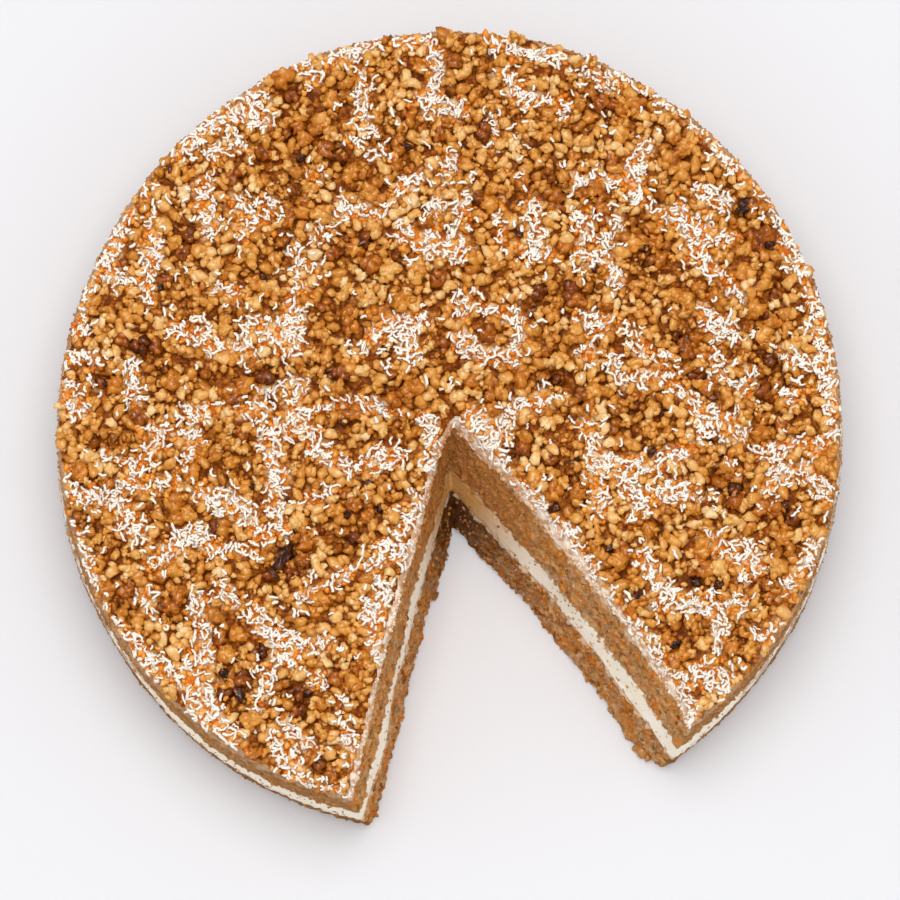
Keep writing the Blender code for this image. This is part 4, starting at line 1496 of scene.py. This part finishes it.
surface = Surface()
nut_bed(bed_finish())

nut_syrup = syrup_finish("syrup_nuts", NUT_TONES, 0.75)
walnut_syrup = syrup_finish("syrup_walnuts", WALNUT_TONES, 0.90)
crumb_syrup = syrup_finish("orange_crumbs", CRUMB_TONES, 0.40)
pebbles = [pebble_shape(seed) for seed in range(14)]
lobes = [walnut_shape(seed) for seed in range(12)]
crumbs = [crumb_shape(seed) for seed in range(8)]


burnt = Pieces("burnt_bits", [burnt_shape(seed) for seed in range(8)], 1)
walnuts = Pieces("walnut_chunks", lobes, 2)
broken = Pieces("broken_nuts", pebbles, 9)
chopped = Pieces("chopped_nuts", pebbles, 3)
small = Pieces("small_nuts", pebbles, 4)
fine = Pieces("fine_nuts", crumbs, 5)
loose_crumbs = Pieces("orange_crumbs", crumbs, 6)

burnt_bits(surface, burnt)
walnut_radii = (0.0021, 0.0045, 0.0029)
crumb_radii = (0.0006, 0.0015, 0.0009)
scatter(surface, walnuts, add_walnut, 4700, walnut_radii, 0.0010, 0.0010, walnut_tint, keep_walnut)
scatter(surface, broken, add_nut, 2400, (0.0016, 0.0028, 0.0021), 0.0008, 0.0005, tint_here, keep_nut)
scatter(surface, chopped, add_nut, 5200, (0.0012, 0.0022, 0.0016), 0.0008, 0.0004, tint_here, keep_nut)
scatter(surface, small, add_nut, 3000, (0.0009, 0.0014, 0.0011), 0.0006, 0.0002, tint_here, keep_nut)
scatter(surface, loose_crumbs, add_nut, 10000, crumb_radii, 0.0004, 0.0007, crumb_tint, keep_crumb)
scatter(surface, fine, add_nut, 2000, (0.0005, 0.0009, 0.0007), 0.0006, 0.0, tint_here, keep_fine)

burnt.build(burnt_finish(), "nut_topping")
walnuts.build(walnut_syrup, "nut_topping")
for nuts in (broken, chopped, small, fine):
    nuts.build(nut_syrup, "nut_topping")
loose_crumbs.build(crumb_syrup, "nut_topping")
coconut("coconut_shreds", surface, coconut_finish(), SHREDS_EACH, 7)
coconut("coconut_threads", surface, coconut_finish(), SHREDS_EACH, 8)


# --- crumbs on the cuts and the round side --------------------------------------------------------

top_crumbs = Pieces("top_cut_crumbs", crumbs, 11)
bottom_crumbs = Pieces("bottom_cut_crumbs", crumbs, 12)
carrot = Pieces("carrot_flecks", pebbles, 13)
icing_lumps = Pieces("icing_lumps", crumbs, 14)

# The columns of a wall that crumbs cling to, clear of the point and of the corners of the cuts.
on_cuts = [*range(6, CUT_STEPS - 2), *range(CUT_STEPS + SIDE_STEPS + 2, 2 * CUT_STEPS + SIDE_STEPS - 6)]
on_round = list(range(CUT_STEPS + 4, CUT_STEPS + SIDE_STEPS - 4))

cling(top_crumbs, top_wall, on_cuts, 620, (0.0003, 0.0011, 0.0005))
cling(top_crumbs, cream_wall, on_cuts, 50, (0.0003, 0.0008, 0.0004))
cling(bottom_crumbs, bottom_wall, on_cuts, 620, (0.0003, 0.0011, 0.0005))
cling(bottom_crumbs, bottom_wall, on_cuts, 160, (0.0002, 0.0010, 0.0004), lows_only=True)
cling(carrot, bottom_wall, on_cuts, 100, (0.0004, 0.0010, 0.0007))
cling(carrot, top_wall, on_cuts, 80, (0.0004, 0.0010, 0.0007))
cling(icing_lumps, icing_wall, on_cuts, 330, (0.0004, 0.0012, 0.0008))
cling(top_crumbs, icing_wall, on_round, 700, (0.0003, 0.0011, 0.0006))
cling(top_crumbs, top_wall, on_round, 1500, (0.0003, 0.0011, 0.0006))
cling(top_crumbs, cream_wall, on_round, 500, (0.0002, 0.0008, 0.0004))
cling(bottom_crumbs, bottom_wall, on_round, 1300, (0.0002, 0.0008, 0.0004))
stick(bottom_crumbs, LEFT_CUT_ANGLE, left_face, 0.055, 0.0017, 0.0)
for reach, radius in ((0.122, 0.0018), (0.1245, 0.0022), (0.1265, 0.0014)):
    stick(bottom_crumbs, RIGHT_CUT_ANGLE, right_face, reach, radius, 0.45)

stuck_crumbs = syrup_finish("stuck_crumbs", STUCK_TONES, 0.30)
top_crumbs.build(stuck_crumbs, "top_sponge")
bottom_crumbs.build(stuck_crumbs, "bottom_sponge")
carrot.build(carrot_finish(), "bottom_sponge")
icing_lumps.build(lump_finish(), "top_icing")


# --- floor, light and camera ----------------------------------------------------------------------


def add_floor():
    """A wide level floor that the cake rests on."""
    bm = bmesh.new()
    bmesh.ops.create_grid(bm, x_segments=1, y_segments=1, size=4.0)
    mesh = mesh_of(bm, "floor")
    mesh.materials.append(floor_finish())
    floor = bpy.data.objects.new("floor", mesh)
    bpy.context.scene.collection.objects.link(floor)


def add_light(name, way, spread, strength, glints_only=False):
    """A lamp far off, which shines from the way given. spread is how wide it looks, in degrees.

    With glints_only it lights nothing evenly and only shows in gloss.
    """
    light = bpy.data.lights.new(name, "SUN")
    light.angle = math.radians(spread)
    light.energy = strength
    lamp = bpy.data.objects.new(name, light)
    lamp.rotation_euler = (-Vector(way)).to_track_quat("-Z", "Y").to_euler()
    lamp.visible_diffuse = not glints_only
    bpy.context.scene.collection.objects.link(lamp)


def add_room_light(strength):
    """Even white light from all round, as in a pale studio."""
    world = bpy.data.worlds.new("studio")
    world.use_nodes = True
    background = world.node_tree.nodes["Background"]
    background.inputs["Color"].default_value = (1.0, 1.0, 1.0, 1.0)
    background.inputs["Strength"].default_value = strength
    bpy.context.scene.world = world


def add_camera():
    """The camera, far off with a long lens."""
    camera = bpy.data.objects.new("camera", bpy.data.cameras.new("camera"))
    camera.data.sensor_width = 36.0
    camera.data.lens = CAMERA_LENS
    camera.data.clip_end = 20.0
    way = Vector((0.0, -math.cos(CAMERA_TILT), math.sin(CAMERA_TILT)))
    camera.location = CAMERA_TARGET + CAMERA_AWAY * way
    camera.rotation_euler = (CAMERA_TARGET - camera.location).to_track_quat("-Z", "Y").to_euler()
    bpy.context.scene.collection.objects.link(camera)
    bpy.context.scene.camera = camera


add_floor()
add_light("key", (0.0, 0.22, 1.30), 40.0, 1.56)
add_light("glints", (-0.25, 0.35, 1.30), 10.0, 9.0, glints_only=True)
add_room_light(0.69)
add_camera()
bpy.context.scene.view_settings.view_transform = "Standard"
